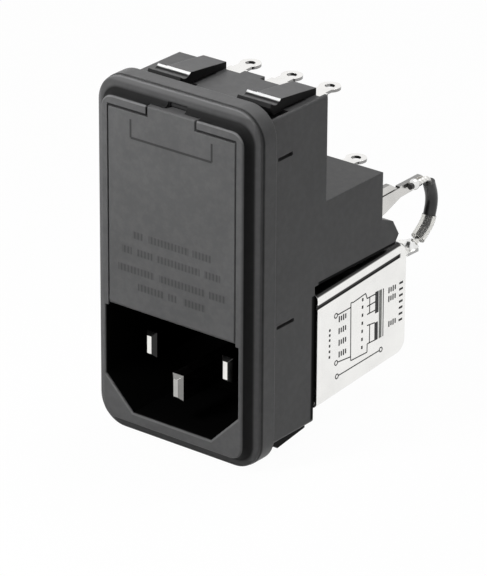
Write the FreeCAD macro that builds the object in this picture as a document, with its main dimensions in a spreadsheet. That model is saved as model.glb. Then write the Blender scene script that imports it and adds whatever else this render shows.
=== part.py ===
import FreeCAD, Part
import math
import os

import Sketcher
from FreeCAD import Placement, Rotation, Vector

# Snap-in power entry module: a C14 inlet, a hinged flap over a two-pole fuse drawer and a
# voltage selector, and a line filter in a metal can behind. Lengths are millimetres.
# X is to the right seen from the front, Y goes into the panel and Z is up. The origin is
# the centre of the panel cut-out, on the panel's front face, where the flange seats.

SIZES = {
    # moulded housing: front
    "flangeSide": 1.2, "flangeAbove": 2.2, "flangeBelow": 2.65, "flangeThick": 2.85,
    "flangeCorner": 4.6, "bezelRise": 0.55, "bezelMargin": 0.1,
    "islandInset": 0.8, "islandDip": 0.5, "islandLip": 0.55, "frontRise": 5.1,
    "islandCorner": 2.1, "coveRadius": 1.35, "frontEdgeRadius": 0.3,
    # moulded housing: behind the panel
    "bodyWidth": 27.2, "bodyHeight": 50.4, "upperDepth": 13.3, "shelfHeight": 8.9,
    "lowerDepth": 27.0, "lowerFloor": -3.6, "inletDepth": 10.8, "wallThick": 1.2,
    "bodyEdgeRadius": 0.5, "sideSlotDeep": 0.7, "sideSlotWide": 0.6, "sideSlotFront": 1.9,
    "sideSlotHigh": 18.9, "sideSlotHighLong": 3.4, "sideSlotLow": -7.0, "sideSlotLowLong": 4.1,
    "notchWide": 3.4, "notchTall": 0.9, "notchDeep": 0.4,
    # C14 recess and its contacts
    "recessRim": 0.55, "recessHeight": 16.1, "recessCorner": 5.0,
    "pinWide": 2.0, "pinTall": 4.0, "pinPitch": 14.0, "pinBelowTop": 6.4, "earthDrop": 3.9,
    "pinSetBack": 3.6, "earthSetBack": 1.0, "pinTail": 4.0, "pinTip": 0.6,
    # flap
    "flapInset": 1.3, "flapThick": 2.0, "flapGap": 0.15, "hingeRise": 1.1, "hingePin": 1.6,
    "hingeFit": 0.05, "hingeReach": 0.6, "earWidth": 7.1, "earTall": 1.4, "tongueGap": 0.15,
    "flapBehind": 0.3, "flapSkin": 1.1, "flapRim": 1.6, "flapBevel": 0.15,
    # fuse drawer
    "drawerWidth": 22.2, "drawerBottom": 9.7, "drawerTop": 22.7, "drawerGap": 0.2,
    "drawerFace": 1.5, "drawerRear": 10.6, "fuseSpread": 6.5, "fuseDepth": 6.3,
    "fuseLength": 20.0, "fuseCap": 5.2, "fuseCapLong": 5.0, "fuseCapWall": 0.2,
    "fuseGlass": 4.7, "fuseGlassWall": 0.5, "fuseElement": 0.3, "cradleGap": 0.1,
    # fuse contacts
    "contactThick": 0.4, "contactGap": 0.15, "contactTall": 2.4, "spineWide": 1.6,
    "slotGap": 0.05, "footFront": 3.2,
    # voltage selector
    "selectorHeight": 2.45, "knobRear": 0.9, "knobDia": 10.4, "knobFit": 0.08, "drumDia": 8.8,
    "drumEnd": 1.2, "rearPin": 3.0, "bandThick": 0.4, "bandFront": 14.0, "bandLong": 6.0,
    # ring tabs
    "tabWide": 3.2, "tabThick": 0.45, "tabHole": 1.5, "tabReach": 3.8,
    "upperTabDip": 0.85, "lowerTabDip": 1.35,
    "tabLeft": -3.2, "tabMiddle": 4.3, "tabRight": 11.1, "lowerTabSide": 5.9,
    # earth blade
    "bladeInset": 2.1, "bladeThick": 0.8, "bladeEnd": 39.6, "bladeLow": 0.3, "bladeHigh": 5.1,
    "rearLugWide": 5.0, "rearLugLong": 4.2,
    # filter can
    "canWidth": 26.4, "canTop": -5.6, "canBottom": -23.8, "canFront": 12.2, "canRise": 1.5,
    "canRear": 34.4, "canWall": 0.45, "canRoll": 0.9, "canRearRadius": 2.3,
    "creaseDrop": 1.7, "creaseTall": 0.5, "creaseDeep": 0.2,
    "lugLevel": -6.6, "lugWide": 4.9, "lugEnd": 38.4, "lugInset": 2.8,
    # filter parts
    "boardThick": 1.2, "coreOuter": 12.0, "coreInner": 6.0, "coreThick": 5.0,
    # snap latches
    "latchWide": 4.2, "latchLeft": -3.75, "latchInset": 1.25, "latchRise": 2.0,
    "latchRear": 12.2, "barWide": 5.9, "latchFront": 1.5, "scoopRadius": 1.3,
    "pocketFront": 0.3, "pocketRear": 4.9, "pocketDeep": 1.0, "pocketDeepBelow": 0.5,
    # jumper
    "leadDia": 0.9, "sleeveDia": 1.9, "clearDia": 2.2, "bareFoot": 0.9,
}


class Size:
    """A length with its number and the spreadsheet expression that gives it."""

    def __init__(self, value, text):
        self.value = value
        self.text = text

    @staticmethod
    def of(other):
        return other if isinstance(other, Size) else Size(float(other), repr(float(other)))

    def __add__(self, other):
        other = Size.of(other)
        return Size(self.value + other.value, f"({self.text} + {other.text})")

    def __sub__(self, other):
        other = Size.of(other)
        return Size(self.value - other.value, f"({self.text} - {other.text})")

    def __mul__(self, other):
        other = Size.of(other)
        return Size(self.value * other.value, f"({self.text} * {other.text})")

    def __truediv__(self, other):
        other = Size.of(other)
        return Size(self.value / other.value, f"({self.text} / {other.text})")

    def __neg__(self):
        return Size(-self.value, f"(-1 * {self.text})")

    def __radd__(self, other):
        return Size.of(other) + self

    def __rsub__(self, other):
        return Size.of(other) - self

    def __rmul__(self, other):
        return Size.of(other) * self


doc = FreeCAD.newDocument("PowerEntryModule")
sheet = doc.addObject("Spreadsheet::Sheet", "Dims")
for row, (alias, number) in enumerate(SIZES.items(), start=1):
    sheet.set(f"A{row}", alias)
    sheet.set(f"B{row}", str(number))
    sheet.setAlias(f"B{row}", alias)
doc.recompute()


def dim(alias):
    return Size(SIZES[alias], f"Dims.{alias}")


nodes = []


def keep(thing, label):
    thing.Label = label
    nodes.append(thing)
    return thing


# ---- sketch helpers ---------------------------------------------------------------------

def newBody(name):
    return doc.addObject("PartDesign::Body", name)


def newSketch(body, name, role, offset):
    sketch = body.newObject("Sketcher::SketchObject", name)
    plane = [f for f in body.Origin.OriginFeatures if f.Role == role][0]
    sketch.AttachmentSupport = [(plane, "")]
    sketch.MapMode = "FlatFace"
    offset = Size.of(offset)
    sketch.AttachmentOffset = Placement(Vector(0, 0, offset.value), Rotation())
    sketch.setExpression(".AttachmentOffset.Base.z", offset.text)
    return sketch


def pin(sketch, index, vertex, across, up):
    # holds one sketch point at two signed distances from the sketch's origin
    for kind, size in (("DistanceX", Size.of(across)), ("DistanceY", Size.of(up))):
        number = sketch.addConstraint(
            Sketcher.Constraint(kind, -1, 1, index, vertex, size.value))
        sketch.setExpression(f"Constraints[{number}]", size.text)


def polygon(sketch, points):
    points = [(Size.of(u), Size.of(v)) for u, v in points]
    first = sketch.GeometryCount
    total = len(points)
    for step in range(total):
        (u0, v0), (u1, v1) = points[step], points[(step + 1) % total]
        sketch.addGeometry(Part.LineSegment(Vector(u0.value, v0.value, 0),
                                            Vector(u1.value, v1.value, 0)))
    for step in range(total):
        sketch.addConstraint(Sketcher.Constraint(
            "Coincident", first + step, 2, first + (step + 1) % total, 1))
        pin(sketch, first + step, 1, *points[step])


def rectangle(sketch, low, high):
    (u0, v0), (u1, v1) = low, high
    polygon(sketch, [(u0, v0), (u1, v0), (u1, v1), (u0, v1)])


def circle(sketch, across, up, radius):
    across, up, radius = Size.of(across), Size.of(up), Size.of(radius)
    index = sketch.addGeometry(
        Part.Circle(Vector(across.value, up.value, 0), Vector(0, 0, 1), radius.value))
    number = sketch.addConstraint(Sketcher.Constraint("Radius", index, radius.value))
    sketch.setExpression(f"Constraints[{number}]", radius.text)
    pin(sketch, index, 3, across, up)


PLANES = {"front": "XZ_Plane", "side": "YZ_Plane", "top": "XY_Plane"}


def grow(body, name, view, start, length, draw, cut=False):
    """Pads or pockets a sketch drawn on a plane of the body.

    front: drawn as (X, Z), a pad goes towards -Y from Y = start and a pocket towards +Y.
    side: drawn as (Y, Z), a pad goes towards +X from X = start and a pocket towards -X.
    top: drawn as (X, Y), a pad goes towards +Z from Z = start and a pocket towards -Z.
    """
    start, length = Size.of(start), Size.of(length)
    offset = -start if view == "front" else start
    sketch = newSketch(body, name + "Sketch", PLANES[view], offset)
    draw(sketch)
    kind = "PartDesign::Pocket" if cut else "PartDesign::Pad"
    feature = body.newObject(kind, name)
    feature.Profile = sketch
    feature.Length = length.value
    feature.setExpression("Length", length.text)
    feature.Refine = False
    doc.recompute()
    return feature


def carve(body, name, view, start, length, draw):
    before = body.Shape.Volume
    feature = grow(body, name, view, start, length, draw, cut=True)
    if not body.Shape.Volume < before - 1e-6:
        raise RuntimeError(f"{name} cuts nothing")
    return feature


def edgesWhere(feature, test):
    return [f"Edge{i + 1}" for i, edge in enumerate(feature.Shape.Edges) if test(edge)]


def soften(body, base, name, radius, test, kind="PartDesign::Fillet"):
    names = edgesWhere(base, test)
    if not names:
        raise RuntimeError(f"{name} finds no edge")
    radius = Size.of(radius)
    feature = body.newObject(kind, name)
    feature.Base = (base, names)
    prop = "Radius" if kind.endswith("Fillet") else "Size"
    setattr(feature, prop, radius.value)
    feature.setExpression(prop, radius.text)
    feature.Refine = False
    doc.recompute()
    return feature


def near(a, b, slack=0.01):
    return abs(a - b) < slack


def straight(edge, axis):
    box = edge.BoundBox
    spans = {"x": box.XLength, "y": box.YLength, "z": box.ZLength}
    return all(near(span, 0) for key, span in spans.items() if key != axis) and \
        spans[axis] > 0.05


# ---- shared places ------------------------------------------------------------------------

half = dim("bodyWidth") / 2
bodyTop = dim("bodyHeight") / 2
front = -dim("frontRise")
bezelFront = -(dim("flangeThick") + dim("bezelRise"))
wall = dim("wallThick")
islandHalf = half - dim("islandInset")
islandTop = bodyTop - dim("islandDip")
recessHalf = islandHalf - dim("recessRim")
recessBottom = -bodyTop + wall
recessTop = recessBottom + dim("recessHeight")
recessFloor = dim("inletDepth") - wall
flapFace = front
flapBack = front + dim("flapThick")
pocketFloor = flapBack + dim("flapBehind")
hingeY = front + dim("flapThick") / 2
hingeZ = recessTop + dim("hingeRise")
flapHalf = islandHalf - dim("flapInset")
pocketHalf = flapHalf + dim("flapGap")
earBottom = islandTop - dim("earTall")
fuseLow = (dim("drawerBottom") + dim("drawerTop") - dim("fuseSpread")) / 2
fuseHigh = fuseLow + dim("fuseSpread")
fuseY = dim("fuseDepth")
contactInner = dim("fuseLength") / 2 + dim("contactGap")
contactOuter = contactInner + dim("contactThick")
wellHalf = dim("drawerWidth") / 2 + dim("drawerGap")
wellBottom = dim("drawerBottom") - dim("drawerGap")
wellTop = dim("drawerTop") + dim("drawerGap")
upperWellRear = dim("upperDepth") - wall
lowerWellRear = dim("lowerDepth") - wall
lowerWellFloor = dim("lowerFloor") + wall
upperTabLevel = bodyTop - dim("upperTabDip")
lowerTabLevel = dim("shelfHeight") - dim("lowerTabDip")
lowerWellTop = lowerTabLevel + dim("tabThick")
drumRear = lowerWellRear - dim("drumEnd")
bladeSide = half - dim("bladeInset")
lowerWellFront = dim("knobRear") + 0.1
selectorZ = dim("selectorHeight")
spigotRear = dim("canFront") + 0.9
spineBack = upperWellRear - dim("spineWide") - 0.7
spineFront = fuseY - dim("spineWide") / 2
feedFrontY = spigotRear + 0.3                    # leg of the neutral feed
feedBackY = feedFrontY + dim("spineWide") + 1.7  # leg of the line feed
legWide = dim("spineWide")
bridgeRear = feedBackY + legWide + 1.2
canSlope = dim("canRise") / (dim("canRear") - dim("canFront"))
boardTop = dim("canTop") - dim("canWall") - 1.2
bladeLow = dim("bladeLow")
bladeHigh = dim("bladeHigh")
boardBottom = boardTop - dim("boardThick")
print("shared places set")


def canLevel(level, y):
    # height at depth y of a line that starts at the can's mouth and rises with the can
    return level + canSlope * (y - dim("canFront"))


# ---- moulded housing ------------------------------------------------------------------------

def housing():
    body = newBody("Housing")
    flangeLow = -bodyTop - dim("flangeBelow")
    flangeHigh = bodyTop + dim("flangeAbove")
    flangeHalf = half + dim("flangeSide")
    margin = dim("bezelMargin")
    grow(body, "Flange", "front", 0, dim("flangeThick"),
         lambda s: rectangle(s, (-flangeHalf, flangeLow), (flangeHalf, flangeHigh)))
    corners = soften(body, body.Tip, "FlangeCorners", dim("flangeCorner"),
                     lambda e: straight(e, "y"))
    soften(body, corners, "FlangeRim", 0.4,
           lambda e: near(e.BoundBox.YMax, -SIZES["flangeThick"]))
    bezel = grow(body, "Bezel", "front", -dim("flangeThick"), dim("bezelRise"),
                 lambda s: rectangle(s, (-flangeHalf + margin, flangeLow + margin),
                                     (flangeHalf - margin, flangeHigh - margin)))
    corners = soften(body, bezel, "BezelCorners", dim("flangeCorner") - margin,
                     lambda e: straight(e, "y") and near(e.BoundBox.YMin, bezelFront.value)
                     and near(e.BoundBox.YMax, -SIZES["flangeThick"]))
    soften(body, corners, "BezelRim", 0.3,
           lambda e: near(e.BoundBox.YMin, bezelFront.value)
           and near(e.BoundBox.YMax, bezelFront.value))
    islandLow = -bodyTop - dim("islandLip")
    island = grow(body, "Island", "front", bezelFront, bezelFront - front,
                  lambda s: rectangle(s, (-islandHalf, islandLow), (islandHalf, islandTop)))
    corners = soften(body, island, "IslandCorners", dim("islandCorner"),
                     lambda e: straight(e, "y") and near(e.BoundBox.YMin, front.value)
                     and near(e.BoundBox.YMax, bezelFront.value))

    def onIsland(edge):
        box0 = edge.BoundBox
        return max(abs(box0.XMax), abs(box0.XMin)) < islandHalf.value + 0.01 and \
            box0.ZMax < islandTop.value + 0.01 and box0.ZMin > islandLow.value - 0.01

    cove = soften(body, corners, "Cove", dim("coveRadius"),
                  lambda e: near(e.BoundBox.YMin, bezelFront.value)
                  and near(e.BoundBox.YMax, bezelFront.value) and onIsland(e))
    soften(body, cove, "FrontEdge", dim("frontEdgeRadius"),
           lambda e: near(e.BoundBox.YMax, front.value))

    # stepped body behind the panel, drawn from the side
    def sideProfile(sketch):
        polygon(sketch, [
            (-1.0, -bodyTop), (dim("inletDepth"), -bodyTop),
            (dim("inletDepth"), dim("lowerFloor")), (dim("lowerDepth"), dim("lowerFloor")),
            (dim("lowerDepth"), dim("shelfHeight")), (dim("upperDepth"), dim("shelfHeight")),
            (dim("upperDepth"), bodyTop), (-1.0, bodyTop)])
    grow(body, "BodyBlock", "side", -half, dim("bodyWidth"), sideProfile)
    soften(body, body.Tip, "BodyEdges", dim("bodyEdgeRadius"),
           lambda e: straight(e, "y") and e.BoundBox.YMin > -0.01
           and near(abs(e.BoundBox.Center.x), half.value)
           and near(abs(e.BoundBox.Center.z), bodyTop.value))

    # rear lugs below the earth blade, with a sloping back
    def lugProfile(sketch):
        root, end = dim("lowerDepth") - 0.5, dim("lowerDepth") + dim("rearLugLong")
        low = dim("lowerFloor")
        polygon(sketch, [(root, low), (end - 1.0, low), (end, low + 1.4), (end - 1.5, low + 3.9),
                         (root, low + 5.2)])
    grow(body, "RearLugRight", "side", half - dim("rearLugWide"), dim("rearLugWide"), lugProfile)
    grow(body, "RearLugLeft", "side", -half, dim("rearLugWide"), lugProfile)

    # spigot that the filter can slides over, and the duct that carries the feeds up from it
    spigotHalf = dim("canWidth") / 2 - dim("canWall") - 0.1
    spigotLow = dim("canBottom") + dim("canWall") + 0.2
    spigotHigh = dim("canTop") - dim("canWall") - 0.1
    grow(body, "Spigot", "front", spigotRear, spigotRear - dim("inletDepth") + 0.5,
         lambda s: rectangle(s, (-spigotHalf, spigotLow), (spigotHalf, spigotHigh)))
    soften(body, body.Tip, "SpigotCorners", dim("canRoll"),
           lambda e: straight(e, "y") and near(abs(e.BoundBox.Center.x), spigotHalf.value))
    ductOuter = contactOuter + 0.9
    ductInner = contactInner - 0.9
    ductFloor = canLevel(dim("canTop"), bridgeRear) + 0.1
    grow(body, "FeedDuct", "top", ductFloor, dim("lowerFloor") - ductFloor + 0.5,
         lambda s: rectangle(s, (-ductOuter, dim("inletDepth") - 0.5),
                             (-ductInner, bridgeRear)))

    # C14 recess: a rectangle with two cut corners at the bottom
    corner = dim("recessCorner")
    carve(body, "Recess", "front", front, recessFloor - front,
          lambda s: polygon(s, [(-recessHalf, recessTop), (recessHalf, recessTop),
                                (recessHalf, recessBottom + corner),
                                (recessHalf - corner, recessBottom),
                                (-recessHalf + corner, recessBottom),
                                (-recessHalf, recessBottom + corner)]))
    carve(body, "FlapPocket", "front", front, pocketFloor - front,
          lambda s: rectangle(s, (-pocketHalf, recessTop - 0.5), (pocketHalf, earBottom)))
    tongueHalf = pocketHalf - dim("earWidth")
    # the tongue's slot is open at the top, and a screwdriver notch is cut into the cove above
    carve(body, "TongueSlot", "front", front, dim("flapThick") + dim("flapBehind"),
          lambda s: rectangle(s, (-tongueHalf, earBottom - 0.5), (tongueHalf, islandTop + 0.1)))
    carve(body, "DriverNotch", "front", bezelFront - dim("coveRadius"),
          dim("coveRadius") + dim("notchDeep"),
          lambda s: rectangle(s, (-dim("notchWide") / 2, islandTop - 0.3),
                              (dim("notchWide") / 2, islandTop + dim("notchTall"))))
    socketEnd = pocketHalf + dim("hingeReach")
    carve(body, "HingeSockets", "side", socketEnd, socketEnd * 2,
          lambda s: circle(s, hingeY, hingeZ, dim("hingePin") / 2 + dim("hingeFit")))

    # fuse drawer's well, and the selector's bore and well
    carve(body, "DrawerWell", "front", pocketFloor, upperWellRear - pocketFloor,
          lambda s: rectangle(s, (-wellHalf, wellBottom), (wellHalf, wellTop)))
    carve(body, "SelectorBore", "front", pocketFloor, lowerWellFront - pocketFloor + 0.5,
          lambda s: circle(s, 0, selectorZ, dim("knobDia") / 2 + dim("knobFit")))
    lowerHalf = half - wall
    carve(body, "SelectorWell", "front", lowerWellFront, lowerWellRear - lowerWellFront,
          lambda s: rectangle(s, (-lowerHalf, lowerWellFloor), (lowerHalf, lowerWellTop)))
    slots(body)
    latches(body)
    return keep(body, "housing")


def latches(body):
    # Each snap latch is a sprung arm rooted at its rear. Its wide catch bar is undercut in
    # front, and a scoop across its top takes the tool that presses it down.
    rise = dim("latchRise")
    catch = dim("latchFront")
    for where, side in (("Top", 1), ("Bottom", -1)):
        skin = bodyTop * side
        tail = dim("latchRear") if side > 0 else dim("inletDepth") - 0.3
        ends = {"latchLeft": dim("latchLeft"), "latchRight": half - dim("latchInset")}

        def wells(sketch):
            for end in ends.values():
                rectangle(sketch, (end - dim("barWide") - 0.1, dim("pocketFront")),
                          (end + 0.7, dim("pocketRear")))
        deep = dim("pocketDeep") if side > 0 else dim("pocketDeepBelow")
        carve(body, "LatchWells" + where, "top", skin if side > 0 else skin + deep, deep, wells)
        for place, end in ends.items():
            tag = where + place[5:]
            grow(body, "LatchArm" + tag, "side", end - dim("latchWide"), dim("latchWide"),
                 lambda s: polygon(s, [
                     (tail, skin - side * 0.3),
                     (tail, skin + rise * 0.55 * side),
                     (catch + 2.3, skin + rise * side),
                     (catch + 1.2, skin + rise * 0.7 * side),
                     (catch + 1.2, skin + rise * 0.22 * side),
                     (tail - 2.6, skin + rise * 0.12 * side),
                     (tail - 2.0, skin - side * 0.3)]))
            grow(body, "LatchBar" + tag, "side", end - dim("barWide"), dim("barWide"),
                 lambda s: polygon(s, [
                     (catch + 0.8, skin + rise * 0.05 * side),
                     (catch, skin + rise * 0.66 * side),
                     (catch + 0.3, skin + rise * 0.9 * side),
                     (catch + 2.8, skin + rise * 0.97 * side),
                     (catch + 2.8, skin + rise * 0.05 * side)]))
        middle = catch + 1.4
        carve(body, "LatchScoops" + where, "side", ends["latchRight"] + 0.1,
              ends["latchRight"] - ends["latchLeft"] + dim("barWide") + 0.2,
              lambda s: circle(s, middle, skin + (rise * 0.68 + dim("scoopRadius")) * side,
                               dim("scoopRadius")))


def slots(body):
    gap = dim("slotGap")
    tab = dim("tabWide") / 2 + gap
    tabLow = upperTabLevel - gap
    tabHigh = upperTabLevel + dim("tabThick") + gap
    roofDepth = dim("upperDepth") + 1.0
    uppers = [dim("tabLeft"), dim("tabMiddle"), dim("tabRight")]

    def row(centres, reach, low, high):
        # one opening for each tab, side by side
        def draw(sketch):
            for centre in centres:
                rectangle(sketch, (centre - reach, low), (centre + reach, high))
        return draw

    # roof slots and rear notches for the three upper tabs
    carve(body, "RoofSlots", "front", spineBack - gap, roofDepth - spineBack,
          row([dim("tabLeft"), dim("tabRight")], tab, tabLow, tabHigh))
    carve(body, "RoofSlotMiddle", "front", spineFront - gap, roofDepth - spineFront,
          row([dim("tabMiddle")], tab, tabLow, tabHigh))
    carve(body, "Notches", "front", upperWellRear, wall + 1.0,
          row(uppers, tab + 0.3, tabLow, bodyTop + 1.0))
    carve(body, "RoofArmSlot", "front", spineFront - gap, legWide + gap * 2,
          lambda s: rectangle(s, (dim("tabMiddle"), tabLow), (contactOuter + gap, tabHigh)))

    def legs(low, high, starts):
        # one opening for each leg, one behind the other
        def draw(sketch):
            for start in starts:
                rectangle(sketch, (low - gap, start - gap), (high + gap, start + legWide + gap))
        return draw

    # slots that carry the fuse contacts: two up through the roof, two down to the filter
    carve(body, "RoofFeeds", "top", tabHigh, tabHigh - wellTop + 0.5,
          legs(contactInner, contactOuter, [spineFront, spineBack]))
    carve(body, "FloorFeeds", "top", wellBottom + 0.5, wellBottom - lowerWellTop + 1.0,
          legs(-contactOuter, -contactInner, [spineFront, spineBack]))
    carve(body, "DuctFeeds", "top", lowerWellFloor + 0.5, lowerWellFloor - dim("canTop") + 1.0,
          legs(-contactOuter, -contactInner, [feedFrontY, feedBackY]))
    # selector common strip, from the left upper tab down behind the drawer
    side = dim("contactThick") / 2 + gap
    centre = dim("tabLeft")
    carve(body, "CommonSlot", "top", tabHigh, tabHigh - lowerWellTop + 0.5,
          lambda s: rectangle(s, (centre - side, spineBack + 0.9),
                              (centre + side, upperWellRear - gap)))
    # rear wall: two lower tabs, the selector's bearing and the earth blade through its lug
    blade = dim("bladeThick") / 2 + gap

    def rearOpenings(sketch):
        for sign in (1, -1):
            middle = dim("lowerTabSide") * sign
            rectangle(sketch, (middle - tab, lowerTabLevel - gap),
                      (middle + tab, lowerWellTop))
        circle(sketch, 0, selectorZ, dim("rearPin") / 2 + dim("knobFit"))
        rectangle(sketch, (bladeSide - blade, bladeLow - gap),
                  (bladeSide + blade, bladeHigh + gap))
    carve(body, "RearOpenings", "front", lowerWellRear - 0.5,
          wall + dim("rearLugLong") + 1.0, rearOpenings)

    # floor of the recess: three contact pins
    def pinHoles(sketch):
        wide, tall = dim("pinWide") / 2 + gap / 2, dim("pinTall") / 2 + gap / 2
        for x, z in pinPlaces().values():
            rectangle(sketch, (x - wide, z - tall), (x + wide, z + tall))
    carve(body, "PinHoles", "front", recessFloor - 0.5, wall + 3.0, pinHoles)

    # short moulding slots in both side walls
    deep = dim("sideSlotDeep")

    def sideSlots(sketch):
        for place, long in (("sideSlotHigh", "sideSlotHighLong"), ("sideSlotLow", "sideSlotLowLong")):
            rectangle(sketch, (dim("sideSlotFront"), dim(place) - dim("sideSlotWide") / 2),
                      (dim("sideSlotFront") + dim(long), dim(place) + dim("sideSlotWide") / 2))
    carve(body, "SideSlotsRight", "side", half, deep, sideSlots)
    carve(body, "SideSlotsLeft", "side", -half + deep, deep, sideSlots)


def pinPlaces():
    z = recessTop - dim("pinBelowTop")
    pitch = dim("pinPitch") / 2
    return {"Line": (-pitch, z), "Neutral": (pitch, z), "Earth": (Size.of(0), z - dim("earthDrop"))}


def flap():
    body = newBody("Flap")
    top = earBottom - dim("tongueGap")
    tongueHalf = pocketHalf - dim("earWidth") - dim("tongueGap")
    tongueTop = islandTop
    bottom = hingeZ - dim("flapThick") / 2
    grow(body, "Plate", "front", flapBack, dim("flapThick"), lambda s: polygon(s, [
        (-flapHalf, bottom), (flapHalf, bottom), (flapHalf, top), (tongueHalf, top),
        (tongueHalf, tongueTop), (-tongueHalf, tongueTop), (-tongueHalf, top), (-flapHalf, top)]))
    soften(body, body.Tip, "PlateEdges", dim("flapBevel"),
           lambda e: near(e.BoundBox.YMax, flapFace.value)
           and e.BoundBox.ZMax > bottom.value + 0.1, kind="PartDesign::Chamfer")
    soften(body, body.Tip, "Barrel", dim("flapThick") / 2 - 0.05,
           lambda e: near(e.BoundBox.ZMax, bottom.value) and e.BoundBox.XLength > 1)
    reach = pocketHalf + dim("hingeReach") - 0.1
    grow(body, "HingePins", "side", -reach, reach * 2,
         lambda s: circle(s, hingeY, hingeZ, dim("hingePin") / 2))
    # the back is hollowed between a rim and two ribs
    rim, skin = dim("flapRim"), dim("flapSkin")
    low, high = hingeZ + dim("flapThick"), top - rim
    bay = (flapHalf * 2 - rim * 2 - 2.0) / 3
    for number in range(3):
        start = -flapHalf + rim + (bay + 1.0) * number
        carve(body, f"Hollow{number + 1}", "front", flapFace + skin, dim("flapThick"),
              lambda s: rectangle(s, (start, low), (start + bay, high)))
    return keep(body, "flap")


def fuseDrawer():
    body = newBody("FuseDrawer")
    faceFront = pocketFloor + dim("drawerGap")
    faceHalf = dim("drawerWidth") / 2
    bottom, top = dim("drawerBottom"), dim("drawerTop")
    trayHalf = dim("fuseLength") / 2 - 0.3
    grow(body, "Tray", "front", dim("drawerRear"), dim("drawerRear") - faceFront,
         lambda s: rectangle(s, (-trayHalf, bottom), (trayHalf, top)))
    grow(body, "Face", "front", faceFront + dim("drawerFace"), dim("drawerFace"),
         lambda s: rectangle(s, (-faceHalf, bottom), (faceHalf, top)))
    cap = dim("fuseCap") / 2 + dim("cradleGap")
    for name, z in (("Lower", fuseLow), ("Upper", fuseHigh)):
        carve(body, name + "Cradle", "side", trayHalf + 1.0, trayHalf * 2 + 2.0,
              lambda s: circle(s, fuseY, z, cap))
        carve(body, name + "Mouth", "side", trayHalf + 1.0, trayHalf * 2 + 2.0,
              lambda s: rectangle(s, (fuseY, z - cap * 0.86),
                                  (dim("drawerRear") + 1.0, z + cap * 0.86)))
    # finger grip across the face, and a lightening slot between the fuses
    carve(body, "Grip", "front", faceFront - 0.1, 1.1,
          lambda s: rectangle(s, (-4.5, (bottom + top) / 2 - 1.6), (4.5, (bottom + top) / 2 + 1.6)))
    soften(body, body.Tip, "FaceCorners", 0.6,
           lambda e: straight(e, "y") and near(abs(e.BoundBox.Center.x), faceHalf.value))
    return keep(body, "fuse_drawer")


def selectorDrum():
    body = newBody("SelectorDrum")
    knobFront = pocketFloor + 0.1
    knobRear = dim("knobRear")
    grow(body, "Knob", "front", knobRear, knobRear - knobFront,
         lambda s: circle(s, 0, selectorZ, dim("knobDia") / 2))
    soften(body, body.Tip, "KnobEdge", 0.3, lambda e: near(e.BoundBox.YMax, knobFront.value))
    grow(body, "Drum", "front", drumRear, drumRear - knobRear,
         lambda s: circle(s, 0, selectorZ, dim("drumDia") / 2))
    grow(body, "RearPin", "front", dim("lowerDepth") - 0.2,
         dim("lowerDepth") - 0.2 - drumRear,
         lambda s: circle(s, 0, selectorZ, dim("rearPin") / 2))
    carve(body, "DriverSlot", "front", knobFront, 1.5,
          lambda s: rectangle(s, (-3.4, selectorZ - 0.6), (3.4, selectorZ + 0.6)))
    carve(body, "Pointer", "front", knobFront, 0.5,
          lambda s: polygon(s, [(-0.7, selectorZ + 2.6), (0.7, selectorZ + 2.6),
                                (0, selectorZ + 4.3)]))
    # four detent grooves behind the knob
    drum = dim("drumDia") / 2
    for name, x, z in (("Left", -drum, selectorZ), ("Right", drum, selectorZ),
                       ("High", Size.of(0), selectorZ + drum), ("Low", Size.of(0), selectorZ - drum)):
        carve(body, "Detent" + name, "front", 3.0, 3.6,
              lambda s: circle(s, x, z, 0.7))
    return keep(body, "selector_drum")


def revolvedParts():
    # brass band round the drum, open on one side so that it links only some contacts
    outer = doc.addObject("Part::Cylinder", "BandOuter")
    inner = doc.addObject("Part::Cylinder", "BandInner")
    outer.setExpression("Radius", "Dims.drumDia / 2 + Dims.bandThick")
    inner.setExpression("Radius", "Dims.drumDia / 2")
    outer.Angle = 260
    for piece in (outer, inner):
        piece.setExpression("Height", "Dims.bandLong")
        piece.Placement = Placement(Vector(0, 0, 0), Rotation(Vector(1, 0, 0), -90))
        piece.setExpression(".Placement.Base.y", "Dims.bandFront")
        piece.setExpression(".Placement.Base.z", "Dims.selectorHeight")
    band = doc.addObject("Part::Cut", "SelectorBand")
    band.Base, band.Tool = outer, inner
    keep(band, "selector_band")


def cylinderAcross(name, radius, length, x, y, z):
    # a cylinder along X that starts at x
    piece = doc.addObject("Part::Cylinder", name)
    radius, length = Size.of(radius), Size.of(length)
    piece.setExpression("Radius", radius.text)
    piece.setExpression("Height", length.text)
    piece.Placement = Placement(Vector(0, 0, 0), Rotation(Vector(0, 1, 0), 90))
    for key, place in (("x", x), ("y", y), ("z", z)):
        piece.setExpression(f".Placement.Base.{key}", Size.of(place).text)
    return piece


def tube(name, outer, inner, length, innerStart, innerLength, x, y, z):
    wallSolid = cylinderAcross(name + "Outer", outer, length, x, y, z)
    hollow = cylinderAcross(name + "Inner", inner, innerLength, innerStart, y, z)
    cut = doc.addObject("Part::Cut", name)
    cut.Base, cut.Tool = wallSolid, hollow
    return cut


def fuse(level, z):
    end = dim("fuseLength") / 2
    cap, capWall, capLong = dim("fuseCap") / 2, dim("fuseCapWall"), dim("fuseCapLong")
    y = fuseY
    name = level.capitalize()
    keep(tube(name + "CapLeft", cap, cap - capWall, capLong, -end + capWall, capLong,
              -end, y, z), f"{level}_fuse_cap_left")
    keep(tube(name + "CapRight", cap, cap - capWall, capLong, end - capLong - capWall, capLong,
              end - capLong, y, z), f"{level}_fuse_cap_right")
    glass = dim("fuseGlass") / 2
    inside = end - capWall
    keep(tube(name + "Glass", glass, glass - dim("fuseGlassWall"), inside * 2, -inside - 1,
              inside * 2 + 2, -inside, y, z), f"{level}_fuse_glass")
    keep(cylinderAcross(name + "Element", dim("fuseElement") / 2, inside * 2, -inside, y, z),
         f"{level}_fuse_element")


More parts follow.
